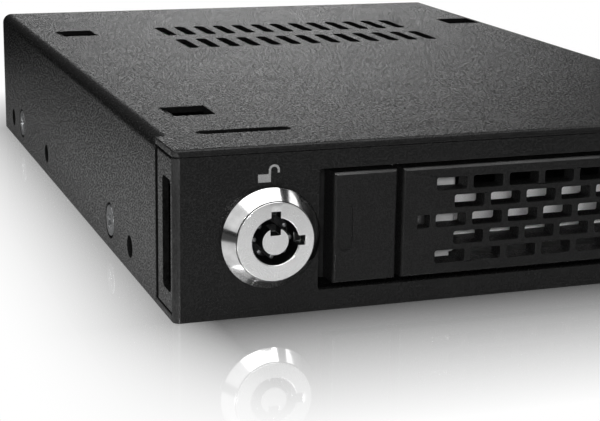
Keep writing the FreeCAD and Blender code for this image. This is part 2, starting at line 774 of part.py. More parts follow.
def make_lock():
    """Tubular lock: chromed body with a tapered collar, its nut, turning post, pins and cam."""
    face = "-collar_projection"
    body = turned("lock_body", (
        "keyway_radius", face), ("collar_face_radius - collar_rim", face),
        ("collar_face_radius", f"{face} + collar_rim"),
        ("collar_base_radius", "-collar_rim"), ("collar_base_radius", "0"),
        ("barrel_radius", "0"), ("barrel_radius", "barrel_length"), ("rotor_radius", "barrel_length"),
        ("rotor_radius", f"{face} + keyway_depth"), ("keyway_radius", f"{face} + keyway_depth"))
    half = "keyway_notch_width / 2"
    inner = "keyway_radius - collar_rim"
    pocket(body, "XY_Plane", face, f"{face} + keyway_notch_depth",
           (rectangle, (f"-{half}", "-keyway_notch_radius", half, f"-({inner})")),
           (rectangle, (inner, f"-{half}", "keyway_notch_radius", half)))
    wide = "collar_base_radius"
    pocket(body, "XY_Plane", "0", "barrel_length",
           (rectangle, ("barrel_flat", f"-{wide}", wide, wide)),
           (rectangle, (f"-{wide}", f"-{wide}", "-barrel_flat", wide)))
    stand_at(body, "lock_x", "front", "lock_height", ALONG_Y)

    body = new_body("lock_nut")
    flat = "nut_across_flats / 2"
    point = "nut_across_flats / sqrt(3)"
    pad(body, "XY_Plane", "bezel_plate", "bezel_plate + nut_thickness", (polygon, (
        (flat, f"-{point} / 2"), (flat, f"{point} / 2"), ("0", point),
        (f"-{flat}", f"{point} / 2"), (f"-{flat}", f"-{point} / 2"), ("0", f"-{point}"))))
    pocket(body, "XY_Plane", "bezel_plate", "bezel_plate + nut_thickness",
           (circle, ("0", "0", "barrel_radius + screw_clearance")))
    stand_at(body, "lock_x", "front", "lock_height", ALONG_Y)

    seat = f"{face} + keyway_depth"
    tail = "barrel_length + rotor_tail"
    body = turned("lock_plug", (
        "0", f"{face} + post_recess"), ("post_radius", f"{face} + post_recess"), ("post_radius", seat),
        ("rotor_radius - rotor_clearance", seat), ("rotor_radius - rotor_clearance", tail),
        ("tail_radius", tail), ("tail_radius", f"{tail} + cam_thickness"), ("0", f"{tail} + cam_thickness"))
    pocket(body, "XY_Plane", face, f"{face} + post_notch_depth", (rectangle, (
        "-post_notch_width / 2", "-post_radius - collar_rim", "post_notch_width / 2", "-post_notch_floor")))
    stand_at(body, "lock_x", "front", "lock_height", ALONG_Y)

    pin = turned("key_pin", ("0", "0"), ("key_pin_radius", "0"), ("key_pin_radius", "key_pin_length"),
                 ("0", "key_pin_length"))
    places = []
    ring = "(post_radius + keyway_radius) / 2"
    for index in range(SIZES["key_pin_count"]):
        angle = f"({index} + 0.5) * 360 deg / key_pin_count"
        places.append(((f"lock_x + {ring} * sin({angle})", f"front + {seat} - key_pin_length",
                        f"lock_height + {ring} * cos({angle})"), ALONG_Y))
    group("lock_pins", pin, places)

    body = new_body("lock_cam")
    back = "cam_front + cam_thickness"
    centre = ("lock_x", "lock_height")
    pad(body, "XZ_Plane", "cam_front", back, (circle, (*centre, "cam_hub_radius")))
    pad(body, "XZ_Plane", "cam_front", back, (rounded, (
        "lock_x - cam_half_width", "lock_height - cam_half_width", "lock_x + cam_half_width",
        "lock_height + cam_length", "cam_half_width * 0.98")))
    pocket(body, "XZ_Plane", "cam_front", back, (circle, (*centre, "tail_radius + screw_clearance")))

    head = "cam_screw_height"
    turned("cam_screw", ("0", "0"), ("cam_screw_radius", "0"), ("cam_screw_radius", f"{head} / 2"),
           ("cam_screw_radius / 2", head), ("0", head))
    stand_at(pieces[-1], "lock_x", back, "lock_height", ALONG_Y)


def tray_screw_places():
    """Where the latch block and the hinge bracket are screwed to the tray's floor."""
    row = "tray_front + block_depth - 2 * small_screw_radius"
    return [("block_left + block_wall + 2 * small_screw_radius", row),
            ("block_right - block_wall - 2 * small_screw_radius", row),
            ("hinge_x", "tray_front + bracket_foot / 2 + ear_thickness / 2")]


def drive_screw_places():
    """The drive's four fixing holes, underneath."""
    columns = ("drive_left + drive_hole_inset", "drive_right - drive_hole_inset")
    rows = ("drive_rear - drive_hole_rear", "drive_rear - drive_hole_rear - drive_hole_pitch")
    return [(x, y) for x in columns for y in rows]


def make_tray_pan():
    """Folded tray: floor, two side walls, a front tab and a window for the lock's cam."""
    body = new_body("tray_pan")
    pad(body, "XZ_Plane", "tray_front", "tray_rear", (polygon, (
        ("tray_left", "tray_bottom"), ("tray_right", "tray_bottom"), ("tray_right", "tray_top"),
        ("tray_right - tray_sheet", "tray_top"), ("tray_right - tray_sheet", "tray_floor"),
        ("tray_left + tray_sheet", "tray_floor"), ("tray_left + tray_sheet", "tray_top"),
        ("tray_left", "tray_top"))))
    round_edges(body, "tray_bend_radius", lambda edge: runs_along(edge, 1) and (
        lies_at(edge, x="tray_left", z="tray_bottom") or lies_at(edge, x="tray_right", z="tray_bottom")))
    pad(body, "XZ_Plane", "tray_front", "tray_front + tray_sheet",
        (rectangle, ("block_left", "tray_floor", "pocket_left", "tray_top")))
    cut_cam_window(body, "tray_left", "tray_left + tray_sheet")
    small = tray_screw_places()
    large = drive_screw_places()
    clear = "screw_clearance"
    pocket(body, "XY_Plane", "tray_bottom", "tray_floor",
           *[(circle, (x, y, f"small_screw_radius + {clear}")) for x, y in small],
           *[(circle, (x, y, f"drive_screw_radius + {clear}")) for x, y in large])
    pocket(body, "XY_Plane", "tray_bottom", "tray_bottom + screw_head_height",
           *[(circle, (x, y, f"small_screw_head_radius + {clear}")) for x, y in small],
           *[(circle, (x, y, f"drive_screw_head_radius + {clear}")) for x, y in large])


def make_latch_block():
    """Block behind the latch, stepped at its foot, with the latch's pocket and the light guide's bore."""
    body = new_body("latch_block")
    rear = "tray_front + block_depth"
    pad(body, "XY_Plane", "tray_floor", "tray_top", (rounded, (
        "block_left", "tray_front", "block_right", rear, "block_corner")))
    pocket(body, "XZ_Plane", "tray_front", "tray_front + block_step_depth", (rectangle, (
        "block_left", "tray_floor", "block_right", "tray_floor + block_step_height")))
    pocket(body, "XZ_Plane", "tray_front", "tray_front + tray_sheet",
           (rectangle, ("block_left", "tray_floor", "pocket_left", "tray_top")))
    half = "(stem_half_height + stem_clearance)"
    pocket(body, "XZ_Plane", "tray_front", "stem_rear + stem_clearance", (rectangle, (
        "pocket_left", f"lever_middle - {half}", "pocket_right", f"lever_middle + {half}")))
    pocket(body, "XZ_Plane", "tray_front", rear, (circle, (
        "lens_x", "pipe_height", "pipe_radius + pipe_clearance")))
    pocket(body, "XY_Plane", "tray_floor", "tray_floor + small_screw_reach", *[
        (circle, (x, y, "small_screw_radius + screw_clearance")) for x, y in tray_screw_places()[:2]])


def make_latch():
    """Button that slides to the left, its guided stem with a tooth, and the return spring."""
    body = new_body("latch_button")
    pad(body, "XZ_Plane", "front", "lever_rear",
        (rectangle, ("latch_left", "lever_low", "latch_right", "lever_high")))
    round_edges(body, "lever_edge", lambda edge: lies_at(edge, y="front"))
    mark = "latch_left + latch_mark_left"
    pocket(body, "XZ_Plane", "front", "front + latch_mark_depth", (rounded, (
        mark, "lever_middle - latch_mark_height / 2", f"{mark} + latch_mark_width",
        "lever_middle + latch_mark_height / 2", "latch_mark_corner")))
    pad(body, "XZ_Plane", "lever_rear", "stem_rear", (rectangle, (
        "stem_left", "lever_middle - stem_half_height", "stem_right", "lever_middle + stem_half_height")))
    tooth = "lever_rear + tooth_front"
    pad(body, "XZ_Plane", tooth, f"{tooth} + tooth_thickness", (rectangle, (
        "stem_right", "lever_middle - hook_half_height", "nib_left - tooth_gap",
        "lever_middle + hook_half_height")))

    helix = document.addObject("Part::Helix", "latch_spring_line")
    helix.setExpression("Radius", bind("spring_radius"))
    coil = "(stem_left - pocket_left - 2 * spring_wire - 2 * spring_end_gap)"
    helix.setExpression("Height", bind(coil))
    helix.setExpression("Pitch", bind(f"{coil} / spring_turns"))
    wire = document.addObject("Part::Circle", "latch_spring_wire")
    wire.setExpression("Radius", bind("spring_wire"))
    wire.Placement = FreeCAD.Placement(FreeCAD.Vector(), AGAINST_Y)
    wire.setExpression("Placement.Base.x", bind("spring_radius"))
    spring = document.addObject("Part::Sweep", "latch_spring")
    spring.Label = "latch_spring"
    spring.Sections = [wire]
    spring.Spine = (helix, ["Edge1"])
    spring.Solid = True
    spring.Frenet = True
    document.recompute()
    stand_at(spring, "pocket_left + spring_wire + spring_end_gap",
             "(tray_front + stem_rear) / 2", "lever_middle", ALONG_X)
    pieces.append(spring)


def make_lever():
    """Perforated lever, thinned behind its grille, with its knuckle, its hook and the lamp's lens."""
    body = new_body("lever")
    pad(body, "XZ_Plane", "front", "lever_rear", (polygon, (
        ("lever_left", "lever_low"), ("lever_neck", "lever_low"), ("lever_neck", "knuckle_low"),
        ("hinge_x", "knuckle_low"), ("hinge_x", "knuckle_high"), ("lever_neck", "knuckle_high"),
        ("lever_neck", "lever_high"), ("lever_left", "lever_high"))))
    round_edges(body, "lever_edge", lambda edge: lies_at(edge, y="front") and not lies_at(
        edge, x="hinge_x"))
    pad(body, "XY_Plane", "knuckle_low", "knuckle_high",
        (circle, ("hinge_x", "hinge_y", "lever_thickness / 2")))
    pocket(body, "XY_Plane", "knuckle_low", "knuckle_high",
           (circle, ("hinge_x", "hinge_y", "hinge_pin_radius + pin_clearance")))
    outer_rows = [grille_slot("0", row) for row in (-2, 0, 2)]
    inner_rows = [grille_slot("grille_pitch / 2", row) for row in (-1, 1)]
    tall = "(2 * grille_row_pitch + grille_slot_height / 2 + grille_rim)"
    pocket(body, "XZ_Plane", "front + grille_plate", "lever_rear", (rounded, (
        "lever_left + grille_left - grille_rim", f"lever_middle - {tall}",
        "lever_neck - grille_right - grille_bar + grille_rim", f"lever_middle + {tall}", "grille_rim")))
    first = pocket(body, "XZ_Plane", "front", "front + grille_plate", *outer_rows)
    repeat_along_x(body, first, "grille_columns", "grille_pitch")
    first = pocket(body, "XZ_Plane", "front", "front + grille_plate", *inner_rows)
    repeat_along_x(body, first, "grille_columns - 1", "grille_pitch")
    half = "lens_size / 2"
    pocket(body, "XZ_Plane", "front", "lever_rear", (rectangle, (
        f"lens_x - {half}", f"pipe_height - {half}", f"lens_x + {half}", f"pipe_height + {half}")))
    low = "lever_middle - hook_half_height"
    high = "lever_middle + hook_half_height"
    tip = "lever_rear + hook_depth"
    pad(body, "XZ_Plane", "lever_rear", tip, (rectangle, (
        "hook_left", low, "hook_left + hook_width", high)))
    pad(body, "XZ_Plane", f"{tip} - hook_nib_thickness", tip,
        (rectangle, ("nib_left", low, "hook_left", high)))

    body = new_body("lamp_lens")
    small = f"({half} - lens_clearance)"
    pad(body, "XZ_Plane", "front + lens_recess", "lever_rear", (rounded, (
        f"lens_x - {small}", f"pipe_height - {small}", f"lens_x + {small}",
        f"pipe_height + {small}", "lens_corner")))


def grille_slot(shift, row):
    """One slot of the grille's first column, in a row counted from the middle."""
    start = f"lever_left + grille_left + {shift}"
    low = f"lever_middle + ({row}) * grille_row_pitch - grille_slot_height / 2"
    return rounded, (start, low, f"{start} + grille_pitch - grille_bar",
                     f"{low} + grille_slot_height", "grille_corner")


def make_hinge():
    """Bracket on the tray's floor whose two ears hold the lever's pin."""
    body = new_body("hinge_bracket")
    tip = "front + ear_setback"
    back = "tray_front"
    foot = "tray_front + bracket_foot"
    pad(body, "YZ_Plane", "hinge_x - ear_half_width", "hinge_x + ear_half_width", (polygon, (
        (tip, "tray_floor"), (foot, "tray_floor"), (foot, "ear_low_top"),
        (f"{back} + ear_thickness", "ear_low_top"), (f"{back} + ear_thickness", "tray_top"),
        (tip, "tray_top"), (tip, "ear_high_low"), (back, "ear_high_low"),
        (back, "ear_low_top"), (tip, "ear_low_top"))))
    round_edges(body, "ear_half_width * 0.95", lambda edge: runs_along(edge, 2)
                and lies_at(edge, y=tip))
    pocket(body, "XY_Plane", "tray_floor", "tray_top", (circle, (
        "hinge_x", "hinge_y", "hinge_pin_radius + screw_clearance")))
    x, y = tray_screw_places()[2]
    pocket(body, "XY_Plane", "tray_floor", "ear_low_top",
           (circle, (x, y, "small_screw_radius + screw_clearance")))
    turned("hinge_pin", ("0", "tray_floor"), ("hinge_pin_radius", "tray_floor"),
           ("hinge_pin_radius", "tray_top"), ("0", "tray_top"))
    stand_at(pieces[-1], "hinge_x", "hinge_y", "0")


def make_drive():
    """Thin drive on the tray's floor: case, lid and the contact tongue in its rear recess."""
    body = new_body("drive_case")
    pad(body, "XY_Plane", "tray_floor", "drive_split", (rounded, (
        "drive_left", "drive_front", "drive_right", "drive_rear", "drive_corner")))
    half = "plug_width / 2"
    pocket(body, "XZ_Plane", "plug_front", "drive_rear", (rectangle, (
        f"plug_middle - {half}", "plug_low", f"plug_middle + {half}", "plug_low + plug_height")))
    pocket(body, "XY_Plane", "tray_floor", "tray_floor + drive_screw_reach", *[
        (circle, (x, y, "drive_screw_radius + screw_clearance")) for x, y in drive_screw_places()])
    body = new_body("drive_lid")
    inset = "drive_lid_inset"
    pad(body, "XY_Plane", "drive_split", "drive_top", (rounded, (
        f"drive_left + {inset}", f"drive_front + {inset}", f"drive_right - {inset}",
        f"drive_rear - {inset}", "drive_corner")))
    body = new_body("drive_plug")
    inner = "plug_width / 2 - 2 * plug_gap - host_wall"
    pad(body, "XZ_Plane", "plug_front", "plug_front + tongue_length", (rectangle, (
        f"plug_middle - ({inner})", "plug_height_middle - tongue_thickness / 2",
        f"plug_middle + {inner}", "plug_height_middle + tongue_thickness / 2")))


def make_light_guide():
    """Clear rod from the lamp's side of the tray, across the front and through the block to the lens."""
    height = "pipe_height"
    line = "front + pipe_cross"
    bend = "pipe_bend"
    radius = number(bend)
    spots = [vector("lens_x", "tray_front", height), vector("lens_x", f"{line} - {bend}", height),
             vector(f"lens_x - {bend}", line, height), vector(f"pipe_x + {bend}", line, height),
             vector("pipe_x", f"{line} + {bend}", height), vector("pipe_x", "tray_rear", height)]
    half_turn = radius * 0.5 ** 0.5
    first_bow = vector(f"lens_x - {bend}", f"{line} - {bend}", height)
    second_bow = vector(f"pipe_x + {bend}", f"{line} + {bend}", height)
    slant = FreeCAD.Vector(half_turn, half_turn, 0)
    edges = [
        Part.LineSegment(spots[0], spots[1]).toShape(),
        Part.Arc(spots[1], first_bow + slant, spots[2]).toShape(),
        Part.LineSegment(spots[2], spots[3]).toShape(),
        Part.Arc(spots[3], second_bow - slant, spots[4]).toShape(),
        Part.LineSegment(spots[4], spots[5]).toShape(),
    ]
    end = Part.Wire(Part.Circle(spots[0], FreeCAD.Vector(0, 1, 0), number("pipe_radius")).toShape())
    feature = document.addObject("Part::Feature", "light_guide")
    feature.Label = "light_guide"
    feature.Shape = Part.Wire(edges).makePipeShell([end], True, False)
    pieces.append(feature)


def flat_screw(label, shank, head, reach):
    """A flush screw: a flat head and a plain shank above it."""
    return turned(label, ("0", "0"), (head, "0"), (head, "screw_head_height"),
                  (shank, "screw_head_height"), (shank, reach), ("0", reach))


def make_screws():
    """Fasteners, one node for each kind."""
    reach = "2 * sheet + side_screw_tail"
    model = turned("side_screw", ("0", "0"), ("side_screw_head_radius", "0"),
                   ("side_screw_head_radius", "sheet"), ("side_screw_shank_radius", "sheet"),
                   ("side_screw_shank_radius", reach), ("0", reach))
    group("side_screws", model, [((x, y, "side_screw_height"), turn) for x, turn in (
        ("left", ALONG_X), ("right", AGAINST_X)) for y in side_screw_rows()])
    model = flat_screw("guide_screw", "small_screw_radius", "small_screw_head_radius",
                       "sheet + small_screw_reach - screw_clearance")
    group("guide_screws", model, [((x, y, "0"), UPRIGHT) for x, y in guide_screw_places()])
    reach = "screw_head_height + board_thickness + board_screw_reach - screw_clearance"
    model = flat_screw("board_screw", "board_screw_radius", "board_screw_head_radius", reach)
    group("board_screws", model, [((x, "board_rear + screw_head_height", z), AGAINST_Y)
                                  for x, z in board_screw_places()])
    model = flat_screw("tray_screw", "small_screw_radius", "small_screw_head_radius",
                       "tray_sheet + ear_thickness - screw_clearance")
    group("tray_screws", model, [((x, y, "tray_bottom"), UPRIGHT) for x, y in tray_screw_places()])
    model = flat_screw("drive_screw", "drive_screw_radius", "drive_screw_head_radius",
                       "tray_sheet + drive_screw_reach - screw_clearance")
    group("drive_screws", model, [((x, y, "tray_bottom"), UPRIGHT) for x, y in drive_screw_places()])


def check_and_write():
    """Stop on any failed object or bad shape, then write each piece to its own file."""
    document.recompute()
    for item in document.Objects:
        if "Invalid" in item.State or "Error" in item.State:
            raise RuntimeError(f"{item.Name} failed: {item.State}")
    for piece in pieces:
        if piece.Shape.isNull() or not piece.Shape.isValid():
            raise RuntimeError(f"{piece.Label} has a bad shape")
    os.makedirs("parts", exist_ok=True)
    for piece in pieces:
        piece.Shape.exportStep(f"parts/{piece.Label}.step")


fill_sheet()
make_cover()
make_base_plate()
make_front_bezel()
make_rear_panel()
make_guides()
make_board()
make_lock()
make_tray_pan()
make_latch_block()
make_latch()
make_lever()
make_hinge()
make_drive()
make_light_guide()
make_screws()
check_and_write()
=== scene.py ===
"""Locking drive tray in its bay enclosure: finishes, fine pieces, studio stage and camera.

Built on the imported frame, in metres, with +Z up and the front facing -Y.
"""
import json
import math

import bmesh
import bpy
from mathutils import Matrix, Vector


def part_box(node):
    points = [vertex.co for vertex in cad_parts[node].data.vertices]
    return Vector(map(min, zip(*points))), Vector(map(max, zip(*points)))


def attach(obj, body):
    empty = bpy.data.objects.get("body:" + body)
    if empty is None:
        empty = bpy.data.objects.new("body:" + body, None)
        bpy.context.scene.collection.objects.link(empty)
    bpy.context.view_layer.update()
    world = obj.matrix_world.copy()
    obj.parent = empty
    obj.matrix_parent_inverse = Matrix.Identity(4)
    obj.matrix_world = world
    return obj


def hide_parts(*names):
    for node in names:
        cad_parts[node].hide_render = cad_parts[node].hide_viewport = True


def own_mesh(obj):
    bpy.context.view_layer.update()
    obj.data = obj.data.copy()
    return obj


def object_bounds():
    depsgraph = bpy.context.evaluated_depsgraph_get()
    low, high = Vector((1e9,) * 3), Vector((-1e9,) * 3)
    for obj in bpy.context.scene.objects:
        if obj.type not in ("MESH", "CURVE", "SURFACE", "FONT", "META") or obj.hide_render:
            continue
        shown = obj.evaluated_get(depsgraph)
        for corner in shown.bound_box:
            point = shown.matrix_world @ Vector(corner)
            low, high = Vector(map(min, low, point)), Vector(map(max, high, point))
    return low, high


bl_info = {
    "name": "Locking drive tray",
    "version": (1, 0, 0),
    "blender": (4, 5, 0),
    "location": "View3D > Sidebar > Drive tray",
    "description": "Dresses the frame of a locking drive tray and sets its studio stage",
    "category": "Object",
}

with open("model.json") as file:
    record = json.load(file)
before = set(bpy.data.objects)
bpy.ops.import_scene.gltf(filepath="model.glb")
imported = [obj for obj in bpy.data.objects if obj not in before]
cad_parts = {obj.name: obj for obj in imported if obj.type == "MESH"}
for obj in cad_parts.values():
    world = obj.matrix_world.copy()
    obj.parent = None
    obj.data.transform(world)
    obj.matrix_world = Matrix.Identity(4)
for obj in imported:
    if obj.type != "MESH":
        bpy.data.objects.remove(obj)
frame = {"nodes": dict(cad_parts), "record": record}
CAD_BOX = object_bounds()
MM = 0.001
# Points nearer to each other than this are one point.
WELD = 0.001 * MM
# Faces that meet at less than these angles are one flat face, or are shaded as one curve.
FLAT = math.radians(0.3)
SMOOTH = math.radians(35)
# Parts of a normal: a face turned half away, a face that leans at all, and a level one.
STEEP, LEANING, LEVEL = 0.5, 0.2, 0.99
# Values of a texture between which a finish goes from dark to light, and from dull to glossy.
TINT_RANGE = (0.38, 0.64)
GLOSS_RANGE = (0.36, 0.66)


def length(name, default_mm, description):
    """A length, given in millimetres."""
    return bpy.props.FloatProperty(
        name=name, description=description, default=default_mm * MM, min=0.0,
        precision=5, unit="LENGTH")


def tint(name, default, description):
    """A colour, as an sRGB hex value."""
    return bpy.props.StringProperty(name=name, description=description, default=default)


class TraySizes(bpy.types.PropertyGroup):
    """Sizes of the fine pieces, which the frame leaves to the dressing."""
    sheet_edge: length("Sheet edge", 0.14, "Rounding that the coat gives the edges of the sheets")
    sheet_corner: length("Sheet corner", 1.1, "Radius of the front corners of the top sheet")
    sheet: length("Sheet", 1.0, "Thickness of the folded sheets")
    wall_inset: length("Wall inset", 1.5, "Least distance of a hole's wall from the edges of its sheet")
    overcut: length("Overcut", 0.02, "How far the cutters of the side holes reach past the sheet")
    # The band along a moulding's top that takes the painted highlight.
    highlight_band: length("Rubbed band", 0.8, "Height of the band along a moulding's top that fingers rub")
    plastic_edge: length("Moulding edge", 0.12, "Rounding of the edges of the moulded pieces")
    metal_edge: length("Metal edge", 0.08, "Rounding of the edges of the small metal pieces")
    fine_edge: length("Fine edge", 0.04, "Rounding of the edges inside the lock")
    coat_grain: length("Coat grain", 0.3, "Width of one grain of the powder coat")
    collar_face: length("Collar face", 5.83, "Radius of the lock's flat face")
    skirt: length("Skirt", 2.15, "From the lock's face to the wide end of its tapered skirt")
    pin_recess: length("Pin recess", 1.9, "From the lock's face to the tips of its pins")
    keyway: length("Keyway", 3.5, "Radius of the lock's keyway")
    pin: length("Pin", 0.42, "Radius of the lock's pins")
    barrel: length("Barrel", 4.9, "Radius of the lock's barrel")
    notch_width: length("Notch width", 1.45, "Width of the keyway's notches")
    notch_reach: length("Notch reach", 4.45, "From the lock's axis to the end of a notch")
    notch_depth: length("Notch depth", 2.2, "Depth of the keyway's notches")
    collar_groove: length("Collar groove", 0.12, "Width of the line between the lock's skirt and its face")
    screw_head: length("Screw head", 2.6, "Radius of the heads of the side screws")
    dimple: length("Dimple", 3.05, "Radius of the dimple around a side screw")
    mount_hole: length("Mount hole", 1.75, "Radius of the cover's holes over the threaded mounts")
    mount_height: length("Mount height", 4.3, "From the underside to the threaded mounts")
    mount_front: length("Front mount", 27.0, "From the front to the first threaded mount")
    mount_middle: length("Middle mount", 97.0, "From the front to the second threaded mount")
    mount_rear: length("Rear mount", 11.0, "From the rear to the third threaded mount")
    head_height: length("Head height", 0.6, "Thickness of the heads of the flat screws")
    shank: length("Shank", 1.4, "Radius of the shanks of the side screws")
    cross_width: length("Cross width", 0.85, "Width of a slot of the screws' cross recess")
    cross_reach: length("Cross reach", 1.55, "From the screw's axis to the end of a slot")
    cross_depth: length("Cross depth", 0.6, "Depth of the screws' cross recess")
    block_end: length("Block end", 0.95, "How far the block's right end reaches on behind the grille")
    block_tail: length("Block tail", 1.1, "Length of the block's right end that is drawn out")
    foot_inset: length("Foot inset", 3.0, "From the drive's sides to the ends of its foot")
    foot_lap: length("Foot lap", 1.0, "How far the drive's foot reaches back into the case")
    foot_reach: length("Foot reach", 2.5, "How far the drive's foot stands out at its front end")
    foot_height: length("Foot height", 0.3, "Thickness of the drive's foot")
    contact_pitch: length("Contact pitch", 1.27, "From one contact strip to the next")
    contact_width: length("Contact width", 0.84, "Width of a contact strip")
    contact_raise: length("Contact raise", 0.05, "How far a contact strip stands proud of its tongue")
    contact_far: length("Contact's far end", 5.5, "From a connector's mouth to its contacts' far ends")
    contact_near: length("Contact's near end", 1.4, "From a connector's mouth to its contacts' near ends")
    tongue: length("Tongue", 0.6, "Half the thickness of a connector's tongue")
    plug_front: length("Plug contact's front", 0.5, "From the front of the drive's plug to its contacts")
    plug_rear: length("Plug contact's rear", 0.3, "From the contacts to the rear of the drive's plug")
    mark_left: length("Mark's place", 12.44, "From the left side to the padlock mark")
    mark_bottom: length("Mark's height", 20.1, "From the underside to the padlock mark")
    mark_width: length("Mark's width", 1.94, "Width of the padlock mark's body")
    mark_height: length("Mark's body", 1.2, "Height of the padlock mark's body")
    mark_bow: length("Mark's bow", 0.84, "Radius of the padlock mark's open shackle")
    mark_leg: length("Mark's leg", 0.54, "Straight length of the shackle's leg on the body")
    mark_free_leg: length("Mark's free leg", 0.4, "Straight length of the shackle's free leg")
    mark_line: length("Mark's line", 0.34, "Thickness of the shackle's line")
    ink: length("Ink", 0.02, "Thickness of the printed mark")


class TrayColours(bpy.types.PropertyGroup):
    """Colours of the finishes and of the stage."""
    coat: tint("Powder coat", "#0B0B0B", "Black powder coat of the sheets")
    coat_light: tint("Coat, light grains", "#161616", "Lighter grains of the powder coat")
    # Paler coat along the rounded edges; on the front corners' folds it is painted highlight.
    coat_edge: tint("Coat, edges", "#2A2A2A", "Thin coat along the edges of the sheets")
    # Near black: painted shade on the holes' walls.
    wall: tint("Hole wall", "#030303", "Punched walls of the holes")
    paint: tint("Tray paint", "#0D0D0D", "Smooth black paint of the tray")
    paint_light: tint("Tray paint, rubbed", "#191919", "Paint where the tray is handled")
    plastic: tint("Black plastic", "#0B0B0B", "Lever, latch and guides")
    plastic_light: tint("Black plastic, light", "#161616", "Lighter grains of the black plastic")
    # Lighter plastic along the tops of the lever and latch: painted highlight.
    rubbed: tint("Black plastic, rubbed", "#3A3A3A", "Black plastic where fingers rub it")
    block: tint("Grey plastic", "#808080", "Block behind the latch")
    block_light: tint("Grey plastic, light", "#909090", "Paler flow lines of the grey plastic")
    chrome: tint("Chrome", "#C5C5C5", "Plated lock")
    chrome_dull: tint("Chrome, dull", "#B3B3B3", "Plating in the shade of its ripples")
    chrome_light: tint("Chrome, light", "#E4E4E4", "Satin face of the lock")
    # Dark metal in the lock's keyway, notches and groove: painted shade.
    recess: tint("Lock recess", "#3A3A3A", "Unpolished metal inside the lock")
    zinc: tint("Zinc plate", "#5B5C5D", "Screws, cam and spring")
    zinc_light: tint("Zinc plate, light", "#7F8081", "Bright spangles of the zinc plate")
    aluminium: tint("Aluminium", "#DADADA", "Case of the drive")
    aluminium_light: tint("Aluminium, light", "#EFEFEF", "Bright grains of the blasted aluminium")
    mask: tint("Solder mask", "#143A22", "Circuit board")
    mask_light: tint("Solder mask, tracks", "#1F5231", "Copper tracks under the solder mask")
    gold: tint("Gold plate", "#D9B45F", "Contacts of the connectors")
    gold_light: tint("Gold plate, light", "#E8CB83", "Wiped lines on the contacts")
    clear: tint("Clear plastic", "#E6ECEE", "Light guide")
    smoked: tint("Smoked plastic", "#2A2A2A", "Lens over the status light")
    ink: tint("Ink", "#6C6C6C", "Printed padlock mark")
    ink_thin: tint("Ink, thin", "#5A5A5A", "Thin places of the print")
    floor: tint("Floor", "#FFFFFF", "Studio floor and background")


def sizes():
    """The sizes that the scene holds."""
    return bpy.context.scene.tray_sizes


def colours():
    """The colours that the scene holds."""
    return bpy.context.scene.tray_colours


def linear(text):
    """An sRGB hex value as linear red, green, blue and alpha."""
    parts = [int(text[index:index + 2], 16) / 255 for index in (1, 3, 5)]
    return [part / 12.92 if part <= 0.04045 else ((part + 0.055) / 1.055) ** 2.4 for part in parts] + [1.0]


def add_node(tree, kind, settings=(), inputs=()):
    """One node: its settings by name, and its inputs, each a value or another node's output."""
    node = tree.nodes.new(kind)
    for name, value in dict(settings).items():
        setattr(node, name, value)
    for key, value in dict(inputs).items():
        if isinstance(value, bpy.types.NodeSocket):
            tree.links.new(value, node.inputs[key])
        else:
            node.inputs[key].default_value = value
    return node


def new_material(name):
    """An empty material that uses nodes, and its tree."""
    material = bpy.data.materials.new(name)
    material.use_nodes = True
    material.node_tree.nodes.clear()
    return material, material.node_tree


def finish(name, dark, light, rough, grain_mm, depth_mm, spread=0.08, patch_mm=6.0, cloud=0.35,
           stretch=(1.0, 1.0, 1.0), pebbled=False, **shader):
    """A surface of fine grains over faint larger patches, as coats, mouldings and blasted metals have.

    The grains run into each other, or are pebbles that lie side by side.
    """
    material, tree = new_material(name)
    place = add_node(tree, "ShaderNodeMapping", {}, {
        "Vector": add_node(tree, "ShaderNodeTexCoord").outputs["Object"], "Scale": stretch}).outputs[0]
    grain = add_node(tree, "ShaderNodeTexVoronoi" if pebbled else "ShaderNodeTexNoise", {}, {
        "Vector": place, "Scale": 1 / (grain_mm * MM), "Detail": 0.0 if pebbled else 2.0}).outputs[0]
    patch = add_node(tree, "ShaderNodeTexNoise", inputs={
        "Vector": place, "Scale": 1 / (patch_mm * MM), "Detail": 3.0}).outputs["Fac"]
    both = add_node(tree, "ShaderNodeMix", {"data_type": "FLOAT"}, {
        "Factor": cloud, "A": grain, "B": patch}).outputs[0]
    share = add_node(tree, "ShaderNodeMapRange", {}, {
        "Value": both, "From Min": TINT_RANGE[0], "From Max": TINT_RANGE[1]}).outputs[0]
    colour = add_node(tree, "ShaderNodeMix", {"data_type": "RGBA"}, {
        "Factor": share, 6: linear(dark), 7: linear(light)}).outputs[2]
    roughness = add_node(tree, "ShaderNodeMapRange", {}, {
        "Value": both, "From Min": GLOSS_RANGE[0], "From Max": GLOSS_RANGE[1],
        "To Min": rough + spread, "To Max": rough - spread}).outputs[0]
    bump = add_node(tree, "ShaderNodeBump", {}, {
        "Strength": 1.0, "Distance": depth_mm * MM, "Height": grain}).outputs[0]
    surface = add_node(tree, "ShaderNodeBsdfPrincipled", {}, {
        "Base Color": colour, "Roughness": roughness, "Normal": bump, **shader})
    add_node(tree, "ShaderNodeOutputMaterial", {}, {"Surface": surface.outputs[0]})
    return material


